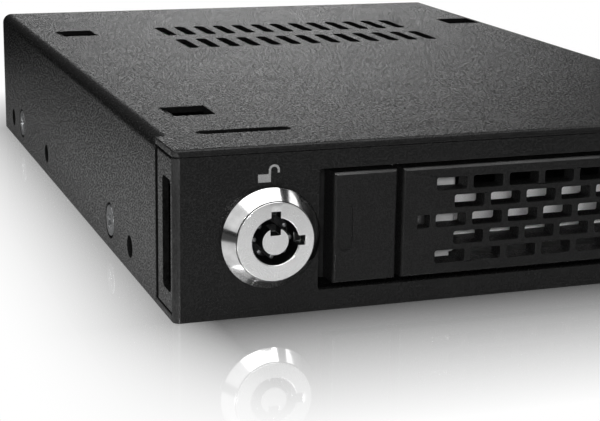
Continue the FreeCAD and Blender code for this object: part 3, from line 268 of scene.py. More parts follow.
def make_finishes():
    """Every finish of the part, by name: the record's slots first, then those of the fine pieces."""
    c = colours()
    coat = sizes().coat_grain / MM
    metal = {"Metallic": 1.0}
    matt = {"Specular IOR Level": 0.09}
    return {
        # Baked polyester powder on steel: matt and grainy, so lit faces turn a soft speckled grey.
        "powder_coat": finish("powder_coat", c.coat, c.coat_light, 0.28, coat, 0.034, spread=0.12, cloud=0.1,
                              stretch=(1.0, 0.7, 1.0), pebbled=True, **matt),
        # Stoved enamel on steel: smoother than the powder coat, with faint orange peel.
        "tray_paint": finish("stoved_enamel", c.paint, c.paint_light, 0.42, 1.2, 0.012, **matt),
        # Moulded acetal: dark and waxy, with streaks along the way that the tray slides.
        "guide_plastic": finish("moulded_acetal", c.plastic, c.plastic_light, 0.45, 0.5, 0.008,
                                stretch=(1.0, 0.12, 1.0), **matt),
        # Moulded ABS from a spark-eroded tool: fine, matt and slightly speckled.
        "lever_plastic": finish("spark_textured_abs", c.plastic, c.plastic_light, 0.38, 0.26, 0.04,
                                spread=0.1, cloud=0.1, pebbled=True, **matt),
        # Moulded ABS, light grey: even and slightly glossy.
        "block_plastic": finish("grey_abs", c.block, c.block_light, 0.45, 0.6, 0.006,
                                stretch=(0.3, 1.0, 1.0)),
        # Polished chrome plate: a clear mirror with the faintest ripple.
        "lock_chrome": finish("polished_chrome", c.chrome_dull, c.chrome, 0.12, 1.6, 0.0015,
                              spread=0.04, **metal),
        # Zinc plate on steel: mid grey and dull, with a cloudy spangle.
        "steel": finish("zinc_plated_steel", c.zinc, c.zinc_light, 0.5, 0.3, 0.006, patch_mm=1.2, **metal),
        # Black oxide on steel: dark with a low metallic gloss.
        "black_screw": finish("black_oxide_steel", c.paint, c.coat_edge, 0.42, 0.4, 0.005, Metallic=0.6),
        # Bead-blasted aluminium under clear lacquer: pale, frosted and soft in its highlights.
        "drive_aluminium": finish("blasted_aluminium", c.aluminium, c.aluminium_light, 0.42, 0.14, 0.01,
                                  Metallic=0.05),
        # Epoxy glass under green solder mask: deep green with a thin gloss and paler copper below.
        "circuit_board": finish("solder_mask", c.mask, c.mask_light, 0.35, 1.4, 0.012,
                                cloud=0.6, patch_mm=4.0),
        # Moulded liquid-crystal polymer: black with a fine flow grain.
        "connector_plastic": finish("connector_polymer", c.paint, c.plastic_light, 0.4, 0.3, 0.006,
                                    stretch=(0.3, 1.0, 1.0)),
        # Cast acrylic: clear, with a polish that is a little uneven.
        "clear_acrylic": finish("cast_acrylic", c.block_light, c.clear, 0.12, 0.6, 0.003, spread=0.05,
                                IOR=1.49, **{"Transmission Weight": 0.85}),
        # Smoked acrylic: nearly black until the lamp behind it lights.
        "smoked_acrylic": finish("smoked_acrylic", c.coat, c.smoked, 0.28, 0.5, 0.004, IOR=1.49),
        # Chrome plate over a turned face: satin, so reflections spread into an even light grey.
        "satin_chrome": finish("satin_chrome", c.chrome, c.chrome_light, 0.3, 0.16, 0.012,
                               spread=0.06, **metal),
        # Metal inside the lock's keyway, notches and groove, and along the post: dark and dull, as painted
        # shade.
        "lock_hollow_shade": finish("lock_hollows_painted_shade", c.coat, c.recess, 0.5, 0.25, 0.01, **metal),
        # Powder coat along the rounded edges: paler and smoother than the faces; on the front corners' folds
        # it is painted highlight.
        "coat_edge": finish("pale_edge_coat_and_fold_highlight", c.coat_light, c.coat_edge, 0.42, coat, 0.004, **matt),
        # Punched walls of the holes: nearly black, with no gloss, as painted shade.
        "hole_wall_shade": finish("punched_wall_painted_shade", c.wall, c.paint, 0.7, 0.3, 0.01,
                            **{"Specular IOR Level": 0.02}),
        # Black ABS along the top of a moulded edge, lighter and a little glossier than the faces: painted
        # highlight.
        "painted_highlight_edge": finish("abs_edge_painted_highlight", c.plastic_light, c.rubbed, 0.34, 0.16, 0.04, spread=0.16),
        # Gold plate over nickel: warm, with wiped lines along the contact.
        "gold_plate": finish("gold_plate", c.gold, c.gold_light, 0.26, 0.3, 0.003,
                             stretch=(1.0, 0.1, 1.0), **metal),
        # Pad-printed ink: flat, with thin places that let the coat through.
        "printed_ink": finish("printed_ink", c.ink_thin, c.ink, 0.55, 0.2, 0.004),
    }


# Filled by the first step.
FINISHES = {}


def take(*pieces):
    """Make these pieces the only ones that are selected, the last of them active."""
    bpy.ops.object.select_all(action="DESELECT")
    for piece in pieces:
        piece.select_set(True)
        bpy.context.view_layer.objects.active = piece


def dress(piece, *names):
    """Give a piece its finishes, one for each of its material slots."""
    piece.data.materials.clear()
    for name in names:
        piece.data.materials.append(FINISHES[name])


def seat(piece, body, slot, *nodes):
    """Tie a finished piece to its body, and hide the nodes that it stands for; the slot is not used."""
    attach(piece, body)
    if nodes:
        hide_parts(*nodes)


def body_of(node):
    """The body that carries a node of the frame."""
    carried = frame["record"]["behaviour"]["bodies"]
    return next(body for body, nodes in carried.items() if node in nodes)


def slot_of(node):
    """The record's material slot of a node of the frame."""
    return next(part["material_slot"] for part in frame["record"]["subparts"] if part["node"] == node)


def stand_for(node, piece):
    """Let a finished piece take the place of a node."""
    seat(piece, body_of(node), slot_of(node), node)


def fresh(name, add, **where):
    """A new primitive, the only thing selected, named for the piece that it becomes."""
    bpy.ops.object.select_all(action="DESELECT")
    add(**where)
    piece = bpy.context.object
    piece.name = name
    return piece


def settle(piece):
    """Move a piece's place, turn and scale into its mesh."""
    take(piece)
    bpy.ops.object.transform_apply(location=True, rotation=True, scale=True)


def block(name, low, high):
    """A block between two corners, to be shaped or to cut with."""
    low, high = Vector(low), Vector(high)
    piece = fresh(name, bpy.ops.mesh.primitive_cube_add, size=1.0, location=(low + high) / 2)
    piece.scale = high - low
    settle(piece)
    return piece


def turned(name, centre, rings, steps=96):
    """A piece turned about an axis along Y: rings of radius and depth, each drawn on from the last.

    The rings end where they began on a hollow piece, and otherwise both ends are capped.
    """
    x, z = centre
    radius, depth = rings[0]
    hollow = rings[0] == rings[-1]
    piece = fresh(name, bpy.ops.mesh.primitive_circle_add, vertices=steps, radius=radius,
                  fill_type="NOTHING" if hollow else "NGON", location=(x, depth, z),
                  rotation=(math.pi / 2, 0, 0))
    settle(piece)
    bpy.ops.object.mode_set(mode="EDIT")
    bpy.ops.mesh.select_all(action="SELECT")
    for next_radius, next_depth in rings[1:]:
        bpy.ops.mesh.extrude_region_move(TRANSFORM_OT_translate={"value": (0, next_depth - depth, 0)})
        grow = next_radius / radius
        bpy.ops.transform.resize(value=(grow, 1, grow), center_override=(x, next_depth, z))
        radius, depth = next_radius, next_depth
    bpy.ops.mesh.select_all(action="SELECT")
    bpy.ops.mesh.remove_doubles(threshold=WELD)
    bpy.ops.mesh.normals_make_consistent(inside=False)
    bpy.ops.object.mode_set(mode="OBJECT")
    return piece


def cut(piece, tool):
    """Cut a tool's shape out of a piece, and put the tool away."""
    take(piece)
    step = piece.modifiers.new("Cut", "BOOLEAN")
    step.operation = "DIFFERENCE"
    step.solver = "EXACT"
    step.object = tool
    bpy.ops.object.modifier_apply(modifier=step.name)
    bpy.data.objects.remove(tool)


def mark_edges(piece, bend=40, cusp=25):
    """Mark the edges to be rounded: those with a bend, except where they run into a cusp."""
    mesh = bmesh.new()
    mesh.from_mesh(piece.data)
    weight = mesh.edges.layers.float.new("bevel_weight_edge")
    for edge in mesh.edges:
        corners = [loop.calc_angle() for vertex in edge.verts for loop in vertex.link_loops]
        if edge.calc_face_angle(0.0) > math.radians(bend) and min(corners) > math.radians(cusp):
            edge[weight] = 1.0
    mesh.to_mesh(piece.data)
    mesh.free()


def round_off(piece, width, edge_slot=0):
    """Round a piece's edges, and keep its flat faces flat to the light."""
    mark_edges(piece)
    take(piece)
    rounding = piece.modifiers.new("Edge rounding", "BEVEL")
    rounding.width = width
    rounding.segments = 2
    rounding.limit_method = "WEIGHT"
    rounding.use_clamp_overlap = False
    rounding.material = edge_slot
    bpy.ops.object.modifier_apply(modifier=rounding.name)
    bpy.ops.object.mode_set(mode="EDIT")
    bpy.ops.mesh.select_all(action="SELECT")
    bpy.ops.mesh.dissolve_degenerate(threshold=WELD)
    bpy.ops.object.mode_set(mode="OBJECT")
    bpy.ops.object.shade_smooth_by_angle(angle=SMOOTH)
    flat = piece.modifiers.new("Flat faces", "WEIGHTED_NORMAL")
    flat.keep_sharp = True
    bpy.ops.object.modifier_apply(modifier=flat.name)


def copy_of(node, name):
    """A copy of a node's mesh, its triangles merged into whole faces."""
    piece = bpy.data.objects.new(name, frame["nodes"][node].data.copy())
    bpy.context.collection.objects.link(piece)
    take(piece)
    bpy.ops.object.mode_set(mode="EDIT")
    bpy.ops.mesh.select_all(action="SELECT")
    bpy.ops.mesh.customdata_custom_splitnormals_clear()
    bpy.ops.mesh.remove_doubles(threshold=WELD)
    bpy.ops.mesh.dissolve_limited(angle_limit=FLAT)
    bpy.ops.object.mode_set(mode="OBJECT")
    return piece


def soften(node, name, width, *finishes, tools=()):
    """A copy of a node, cut and with its edges rounded, the rounding in the last of its finishes."""
    piece = copy_of(node, name)
    for tool in tools:
        cut(piece, tool)
    dress(piece, *finishes)
    round_off(piece, width, len(finishes) - 1)
    stand_for(node, piece)
    return piece


def join(name, *pieces):
    """Several like pieces as one."""
    take(*pieces)
    bpy.ops.object.join()
    joined = bpy.context.object
    joined.name = name
    return joined


def twin(piece, matrix):
    """A copy of a piece with its own mesh, moved by a matrix."""
    other = bpy.data.objects.new(piece.name, piece.data.copy())
    other.data.transform(matrix)
    bpy.context.collection.objects.link(other)
    return other


class TRAY_OT_finishes(bpy.types.Operator):
    """Give every piece of the frame the finish of its slot"""
    bl_idname = "tray.finishes"
    bl_label = "Finishes"

    def execute(self, context):
        FINISHES.update(make_finishes())
        for part in frame["record"]["subparts"]:
            dress(frame["nodes"][part["node"]], part["material_slot"])
        return {"FINISHED"}


class TRAY_OT_shells(bpy.types.Operator):
    """Cut the cover's side holes and corners, round the edges of the sheets, paint shade on the holes' walls
    and paint highlight on the front folds
    """
    bl_idname = "tray.shells"
    bl_label = "Sheet shells"

    def execute(self, context):
        for node in ("cover", "base_plate", "front_bezel", "rear_panel"):
            tools = self.side_holes() + self.corners() if node == "cover" else ()
            shell = soften(node, f"{node}_shell", sizes().sheet_edge, "powder_coat", "coat_edge",
                           tools=tools)
            if node in ("cover", "front_bezel"):
                self.darken(shell, *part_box(node))
        for node in ("tray_pan", "hinge_bracket"):
            soften(node, f"{node}_shell", sizes().sheet_edge, "tray_paint")
        return {"FINISHED"}

    def darken(self, shell, low, high):
        """Give the holes' walls, which stand across a sheet away from its edges, a near-black finish as
        painted shade.

        The front corners' folds get the lighter finish of the edges as painted highlight.
        """
        s = sizes()
        inset = s.wall_inset
        dress(shell, "powder_coat", "coat_edge", "hole_wall_shade")
        for polygon in shell.data.polygons:
            place, normal = polygon.center, polygon.normal
            within = [low[axis] + inset < place[axis] < high[axis] - inset for axis in range(3)]
            top = place.z > high.z - s.sheet and abs(normal.z) < STEEP and within[0] and within[1]
            side = abs(place.x) > high.x - s.sheet and abs(normal.x) < STEEP and within[1] and within[2]
            corner = abs(place.x) > high.x - s.sheet_corner and place.y < low.y + s.sheet_corner
            # Painted shade: the holes' walls take the near-black finish.
            if top or side:
                polygon.material_index = 2
            # Painted highlight: the front corners' folds take the paler edge finish.
            elif corner and min(abs(normal.x), abs(normal.y)) > LEANING > abs(normal.z):
                polygon.material_index = 1

    def corners(self):
        """Cutters that round the front corners of the top sheet."""
        low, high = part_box("cover")
        radius, sheet = sizes().sheet_corner, sizes().sheet
        spare = sheet / 2
        tools = []
        for x, side in ((low.x, 1), (high.x, -1)):
            ends = sorted((x - side * spare, x + side * radius))
            tool = block("corner", (ends[0], low.y - spare, high.z - sheet - spare),
                         (ends[1], low.y + radius, high.z + spare))
            rod = fresh("corner_rod", bpy.ops.mesh.primitive_cylinder_add, vertices=64, radius=radius,
                        depth=4 * sheet, location=(x + side * radius, low.y + radius, high.z))
            settle(rod)
            cut(tool, rod)
            tools.append(tool)
        return tools

    def side_holes(self):
        """Cutters for the dimples of the side screws and for the clearance over the mounts."""
        s = sizes()
        low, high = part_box("side_screws")
        height, radius = (low.z + high.z) / 2, (high.z - low.z) / 2
        rows = [(y, height, s.dimple, s.screw_head + s.fine_edge) for y in (low.y + radius, high.y - radius)]
        front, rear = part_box("front_bezel")[0].y, CAD_BOX[1].y
        rows += [(y, s.mount_height, s.mount_hole, s.mount_hole)
                 for y in (front + s.mount_front, front + s.mount_middle, rear - s.mount_rear)]
        tools = []
        for y, z, outer, inner in rows:
            for x, side in ((CAD_BOX[0].x, 1), (CAD_BOX[1].x, -1)):
                tool = fresh("side_hole", bpy.ops.mesh.primitive_cone_add, vertices=48, radius1=outer,
                             radius2=inner, depth=s.sheet + 2 * s.overcut,
                             location=(x + side * s.sheet / 2, y, z), rotation=(0, side * math.pi / 2, 0))
                settle(tool)
                tools.append(tool)
        return tools


class TRAY_OT_mouldings(bpy.types.Operator):
    """Round the edges of the moulded pieces"""
    bl_idname = "tray.mouldings"
    bl_label = "Mouldings"

    def execute(self, context):
        for node in ("lever", "latch_button"):
            self.rub(soften(node, f"{node}_moulding", sizes().plastic_edge, "lever_plastic"), node)
        for node in ("left_guide", "right_guide", "drive_socket", "host_data_connector",
                     "host_power_connector"):
            soften(node, f"{node}_moulding", sizes().plastic_edge, slot_of(node))
        self.widen(soften("latch_block", "latch_block_moulding", sizes().plastic_edge, "block_plastic"))
        soften("lamp_lens", "lamp_lens_moulding", sizes().plastic_edge, "smoked_acrylic")
        return {"FINISHED"}

    def rub(self, piece, node):
        """The rounding along the top, facing up and to the front, takes a lighter finish: a painted
        highlight.
        """
        dress(piece, "lever_plastic", "painted_highlight_edge")
        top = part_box(node)[1].z - sizes().highlight_band
        for polygon in piece.data.polygons:
            # Painted highlight on the rounding that faces up and to the front.
            if polygon.center.z > top and polygon.normal.y < -LEANING and polygon.normal.z > LEANING:
                polygon.material_index = 1

    def widen(self, piece):
        """Draw the block's right end out a little behind the grille."""
        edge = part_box("latch_block")[1].x - sizes().block_tail
        take(piece)
        bpy.ops.object.mode_set(mode="EDIT")
        bpy.ops.mesh.select_all(action="DESELECT")
        mesh = bmesh.from_edit_mesh(piece.data)
        for vertex in mesh.verts:
            vertex.select_set(vertex.co.x > edge)
        mesh.select_flush(True)
        bpy.ops.transform.translate(value=(sizes().block_end, 0, 0))
        bpy.ops.object.mode_set(mode="OBJECT")


class TRAY_OT_drive(bpy.types.Operator):
    """Round the drive's case and its lid, paint the lid's flat top black as painted shade, and add the thin
    foot of its front end
    """
    bl_idname = "tray.drive"
    bl_label = "Drive"

    def execute(self, context):
        s = sizes()
        soften("drive_case", "drive_case_shell", s.plastic_edge, "drive_aluminium")
        lid = soften("drive_lid", "drive_lid_shell", s.plastic_edge, "drive_aluminium")
        # The lid's flat top takes the black paint: painted shade, as it lies in shade inside the bay.
        dress(lid, "drive_aluminium", "tray_paint")
        for polygon in lid.data.polygons:
            if polygon.normal.z > LEVEL:
                polygon.material_index = 1
        low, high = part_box("drive_case")
        foot = block("drive_foot", (low.x + s.foot_inset, low.y - s.foot_reach, low.z),
                     (high.x - s.foot_inset, low.y + s.foot_lap, low.z + s.foot_height))
        dress(foot, "drive_aluminium")
        round_off(foot, s.fine_edge)
        seat(foot, "tray", "drive_aluminium")
        return {"FINISHED"}


# Places around the lock's post, of which one stays free.
PIN_PLACES = 8
# A pin's domed tip: radius and depth, as shares of the pin's radius.
PIN_DOME = ((0.3, 0.0), (0.7, 0.12), (0.93, 0.45), (1.0, 1.0))


class TRAY_OT_lock(bpy.types.Operator):
    """Turn the lock's collar, with a satin face and a polished skirt, and dome its pins"""
    bl_idname = "tray.lock"
    bl_label = "Lock"

    def execute(self, context):
        low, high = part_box("lock_body")
        centre = ((low.x + high.x) / 2, (low.z + high.z) / 2)
        self.make_body(centre)
        self.make_plug()
        self.make_pins(centre)
        return {"FINISHED"}

    def make_body(self, centre):
        """A satin face, a polished skirt beyond a fine groove, and a keyway with two notches; the keyway,
        notches and groove are dark as painted shade.
        """
        s = sizes()
        low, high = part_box("lock_body")
        face, front = low.y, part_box("front_bezel")[0].y
        base = high.x - centre[0]
        groove = s.collar_groove
        rim, mouth = s.collar_face + groove, s.keyway + groove
        lip, floor = 2 * groove, 4 * groove
        piece = turned("lock_body_turned", centre, [
            (mouth, face), (s.collar_face - s.metal_edge, face), (s.collar_face, face + s.metal_edge),
            (s.collar_face, face + floor), (rim, face + floor), (rim, face + lip),
            (base - s.fine_edge, face + s.skirt - s.fine_edge), (base, face + s.skirt + s.fine_edge),
            (base, front), (s.barrel, front), (s.barrel, high.y),
            (s.keyway, high.y), (s.keyway, face + groove), (mouth, face)])
        for turn in (0, math.pi / 2):
            notch = block("notch", (-s.notch_width / 2, -s.notch_depth, 0),
                          (s.notch_width / 2, s.notch_depth, s.notch_reach))
            notch.data.transform(Matrix.Translation((centre[0], face, centre[1]))
                                 @ Matrix.Rotation(turn, 4, "Y"))
            cut(piece, notch)
        dress(piece, "lock_chrome", "satin_chrome", "lock_hollow_shade")
        for polygon in piece.data.polygons:
            away = polygon.center - Vector((centre[0], face, centre[1]))
            reach = math.hypot(away.x, away.z)
            if away.y < s.metal_edge and reach < s.collar_face:
                polygon.material_index = 1
            # Painted shade: the keyway, the notches and the groove take the dark finish.
            elif (reach < s.notch_reach and away.y > groove
                  or reach < rim and lip < away.y < floor + groove):
                polygon.material_index = 2
        round_off(piece, s.fine_edge / 2)
        stand_for("lock_body", piece)

    def make_plug(self):
        """The post, satin at its end and dark along its sides as painted shade."""
        piece = copy_of("lock_plug", "lock_plug_turned")
        dress(piece, "satin_chrome", "lock_hollow_shade")
        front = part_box("lock_plug")[0].y
        for polygon in piece.data.polygons:
            # Painted shade: the post's sides take the dark finish.
            if polygon.center.y > front + sizes().fine_edge / 4:
                polygon.material_index = 1
        round_off(piece, sizes().fine_edge)
        stand_for("lock_plug", piece)

    def make_pins(self, centre):
        """Pins with domed tips around the post, the place at the top left free."""
        s = sizes()
        low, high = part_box("lock_pins")
        ring = (high.x - low.x) / 2 - s.pin
        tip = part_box("lock_body")[0].y + s.pin_recess
        dome = [(wide * s.pin, tip + deep * s.pin) for wide, deep in PIN_DOME]
        pin = turned("lock_pin", (centre[0], centre[1] + ring), dome + [(s.pin, high.y)], steps=24)
        dress(pin, "steel")
        round_off(pin, s.fine_edge / 2)
        middle = Vector((centre[0], 0, centre[1]))
        copies = [twin(pin, Matrix.Translation(middle)
                       @ Matrix.Rotation(math.tau * step / PIN_PLACES, 4, "Y")
                       @ Matrix.Translation(-middle)) for step in range(1, PIN_PLACES)]
        bpy.data.objects.remove(pin)
        stand_for("lock_pins", join("lock_pins_domed", *copies))


# How far the first of a row of like screws is turned, and how much further each next one, in radians.
FIRST_TURN, NEXT_TURN = 0.5, 0.7


class TRAY_OT_screws(bpy.types.Operator):
    """Model the screws with their cross recesses, and set them in their places"""
    bl_idname = "tray.screws"
    bl_label = "Screws"

    def execute(self, context):
        s = sizes()
        self.fit("side_screws", s.screw_head, s.sheet)
        for node in ("guide_screws", "tray_screws", "drive_screws"):
            self.fit(node, 0.0, s.head_height, (0, 0, -1))
        self.fit("board_screws", 0.0, s.head_height, (0, 1, 0))
        return {"FINISHED"}

    def fit(self, node, head, thick, facing=None):
        """Copies of one modelled screw in the places of a node's screws, each turned a little further.

        Their heads face one way, or outwards to both sides.
        """
        model, copies = None, []
        for index, (low, high) in enumerate(self.places(node)):
            middle, span = (low + high) / 2, high - low
            out = Vector(facing or (math.copysign(1, middle.x), 0, 0))
            along = abs(span.dot(out))
            if model is None:
                model = self.make_screw(f"{node}_crossed", slot_of(node), head or span.x / 2, thick, along)
            turn = Vector((0, -1, 0)).rotation_difference(out).to_matrix().to_4x4()
            spin = Matrix.Rotation(FIRST_TURN + NEXT_TURN * index, 4, "Y")
            copies.append(twin(model, Matrix.Translation(middle + out * along / 2) @ turn @ spin))
        bpy.data.objects.remove(model)
        stand_for(node, join(f"{node}_crossed", *copies))

    def places(self, node):
        """The corners of each screw of a node, from left to right and then from front to back."""
        take(copy_of(node, "screw_places"))
        bpy.ops.mesh.separate(type="LOOSE")
        corners = []
        for piece in bpy.context.selected_objects:
            points = [Vector(corner) for corner in piece.bound_box]
            corners.append((points[0], points[6]))
            bpy.data.objects.remove(piece)
        return sorted(corners, key=lambda pair: (round(pair[0].x, 4), round(pair[0].y, 4)))

    def make_screw(self, name, finish_name, head, thick, along):
        """One screw along Y, the cross in its head facing the front."""
        s = sizes()
        size = head / s.screw_head
        shank = s.shank * size
        screw = turned(name, (0.0, 0.0), (
            (head - s.metal_edge, 0.0), (head, s.metal_edge), (head, thick), (shank, thick), (shank, along)),
            steps=48)
        for turn in (0, math.pi / 2):
            reach, depth, wide = s.cross_reach * size, s.cross_depth * size, s.cross_width * size / 2
            tool = block("cross", (-reach, -depth, -wide), (reach, depth, wide))
            tool.data.transform(Matrix.Rotation(turn, 4, "Y"))
            cut(screw, tool)
        dress(screw, finish_name)
        round_off(screw, s.fine_edge)
        return screw


class TRAY_OT_fittings(bpy.types.Operator):
    """Round the edges of the small fittings inside"""
    bl_idname = "tray.fittings"
    bl_label = "Small fittings"

    def execute(self, context):
        s = sizes()
        for node in ("lock_nut", "lock_cam", "cam_screw", "hinge_pin"):
            soften(node, f"{node}_eased", s.metal_edge, slot_of(node))
        for node in ("backplane_board", "drive_plug", "status_lamp", "light_guide"):
            soften(node, f"{node}_eased", s.fine_edge, slot_of(node))
        self.wind_spring()
        return {"FINISHED"}

    def wind_spring(self):
        """The latch's spring, shaded smooth, with a mesh of its own."""
        piece = copy_of("latch_spring", "latch_spring_wound")
        dress(piece, slot_of("latch_spring"))
        bpy.ops.object.shade_smooth_by_angle(angle=SMOOTH)
        stand_for("latch_spring", piece)
        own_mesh(piece)


class TRAY_OT_mark(bpy.types.Operator):
    """Print the open padlock above the lock"""
    bl_idname = "tray.mark"
    bl_label = "Padlock mark"

    def execute(self, context):
        s = sizes()
        left = CAD_BOX[0].x + s.mark_left
        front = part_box("front_bezel")[0].y
        body = block("mark_body", (left, front - s.ink, s.mark_bottom),
                     (left + s.mark_width, front, s.mark_bottom + s.mark_height))
        round_off(body, s.fine_edge)
        bow = self.make_bow(left + s.mark_width - s.mark_line, front, s.mark_bottom + s.mark_height)
        mark = join("padlock_mark", body, bow)
        dress(mark, "printed_ink")
        seat(mark, "enclosure", slot_of("front_bezel"))
        return {"FINISHED"}

    def make_bow(self, left, front, foot):
        """The shackle: a small square of ink, drawn up from the body, spun half round and drawn down."""
        s = sizes()
        piece = fresh("mark_bow", bpy.ops.mesh.primitive_plane_add, size=1.0,
                      location=(left + s.mark_line / 2, front - s.ink / 2, foot))
        piece.scale = (s.mark_line, s.ink, 1.0)
        settle(piece)
        bpy.ops.object.mode_set(mode="EDIT")
        bpy.ops.mesh.select_all(action="SELECT")
        bpy.ops.mesh.extrude_region_move(TRANSFORM_OT_translate={"value": (0, 0, s.mark_leg)})
        bpy.ops.mesh.spin(steps=16, angle=-math.pi, axis=(0, 1, 0),
                          center=(left + s.mark_bow, front, foot + s.mark_leg))
        bpy.ops.mesh.extrude_region_move(TRANSFORM_OT_translate={"value": (0, 0, -s.mark_free_leg)})
        bpy.ops.mesh.select_all(action="SELECT")
        bpy.ops.mesh.remove_doubles(threshold=WELD)
        bpy.ops.mesh.normals_make_consistent(inside=False)
        bpy.ops.object.mode_set(mode="OBJECT")
        return piece


class TRAY_OT_contacts(bpy.types.Operator):
    """Lay the gold contact strips on the connectors' tongues"""
    bl_idname = "tray.contacts"
    bl_label = "Contacts"

    def execute(self, context):
        s = sizes()
        for node, count in (("host_data_connector", 7), ("host_power_connector", 15)):
            low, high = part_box(node)
            middle = (low + high) / 2
            self.lay(f"{node}_contacts", "enclosure", count, middle.x,
                     (high.y - s.contact_far, high.y - s.contact_near), middle.z + s.tongue)
        low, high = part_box("drive_plug")
        self.lay("drive_plug_contacts", "tray", 22, (low.x + high.x) / 2,
                 (low.y + s.plug_front, high.y - s.plug_rear), high.z)
        return {"FINISHED"}

    def lay(self, name, body, count, middle, along, height):
        """A row of strips on a tongue's upper face."""
        s = sizes()
        first = middle - s.contact_pitch * (count - 1) / 2
        strip = block("contact", (first - s.contact_width / 2, along[0], height - s.contact_raise),
                      (first + s.contact_width / 2, along[1], height + s.contact_raise))
        dress(strip, "gold_plate")
        round_off(strip, s.fine_edge / 2)
        row = [twin(strip, Matrix.Translation((index * s.contact_pitch, 0, 0))) for index in range(count)]
        bpy.data.objects.remove(strip)
        seat(join(name, *row), body, "steel")


# The photograph's camera: where it stands, where it looks and which way is up.
CAMERA_PLACE = (-0.10735, -0.28595, 0.07424)
CAMERA_AHEAD = (0.3343, 0.9094, -0.2474)
CAMERA_UP = (0.0684, 0.2384, 0.9688)
FLOOR_SIZE = 8.0
# The floor lies a hair below the part, so that the two don't flicker.
FLOOR_DROP = 0.05 * MM
FLOOR_GREY = [0.85, 0.85, 0.85, 1]
# The floor's mirror image: its share beside the part, its roughness, and how far past the part's sides
# and front its fading starts and ends, with the power of the fade.
MIRROR_SHARE = 0.92
MIRROR_ROUGH = 0.04
MIRROR_FADES = (("X", -0.0065, 0.0245, 1.7), ("Y", -0.0045, 0.0415, 1.0))
# The floor's own light: its share beside the part, how far past the part it starts and ends to dim in
# mirrors, its level out there, and the stretch along which it dims to the back, with its level there.
GLOW_SHARE = 0.8
GLOW_FADES = (("X", 0.035, 0.05, 1.0), ("Y", 0.03, 0.13, 1.0))
GLOW_FAR = 0.1
GLOW_BACK = (-0.06, 0.1, 0.22)
# The room's light by direction. Each light is a product of ramps over how far a direction leans aside from
# the backdrop's middle, how far it leans back, or how high it is: start, end, and the levels there.
BACKDROP_LEFT = 0.045
BACKDROP = (("aside", 0.0, 0.32, 3.0, 0.0), ("back", 0.1, 0.6, 0.0, 1.0), ("height", 0.03, 0.17, 1.0, 0.0))
FRONT_GLOW = (("back", -0.4, 0.2, 0.35, 0.05), ("height", 0.1, 0.3, 0.1, 1.0))
# The lamp near the camera, as the camera sees its place.
FLASH_PLACE = (0.0, 0.01, 0.2)


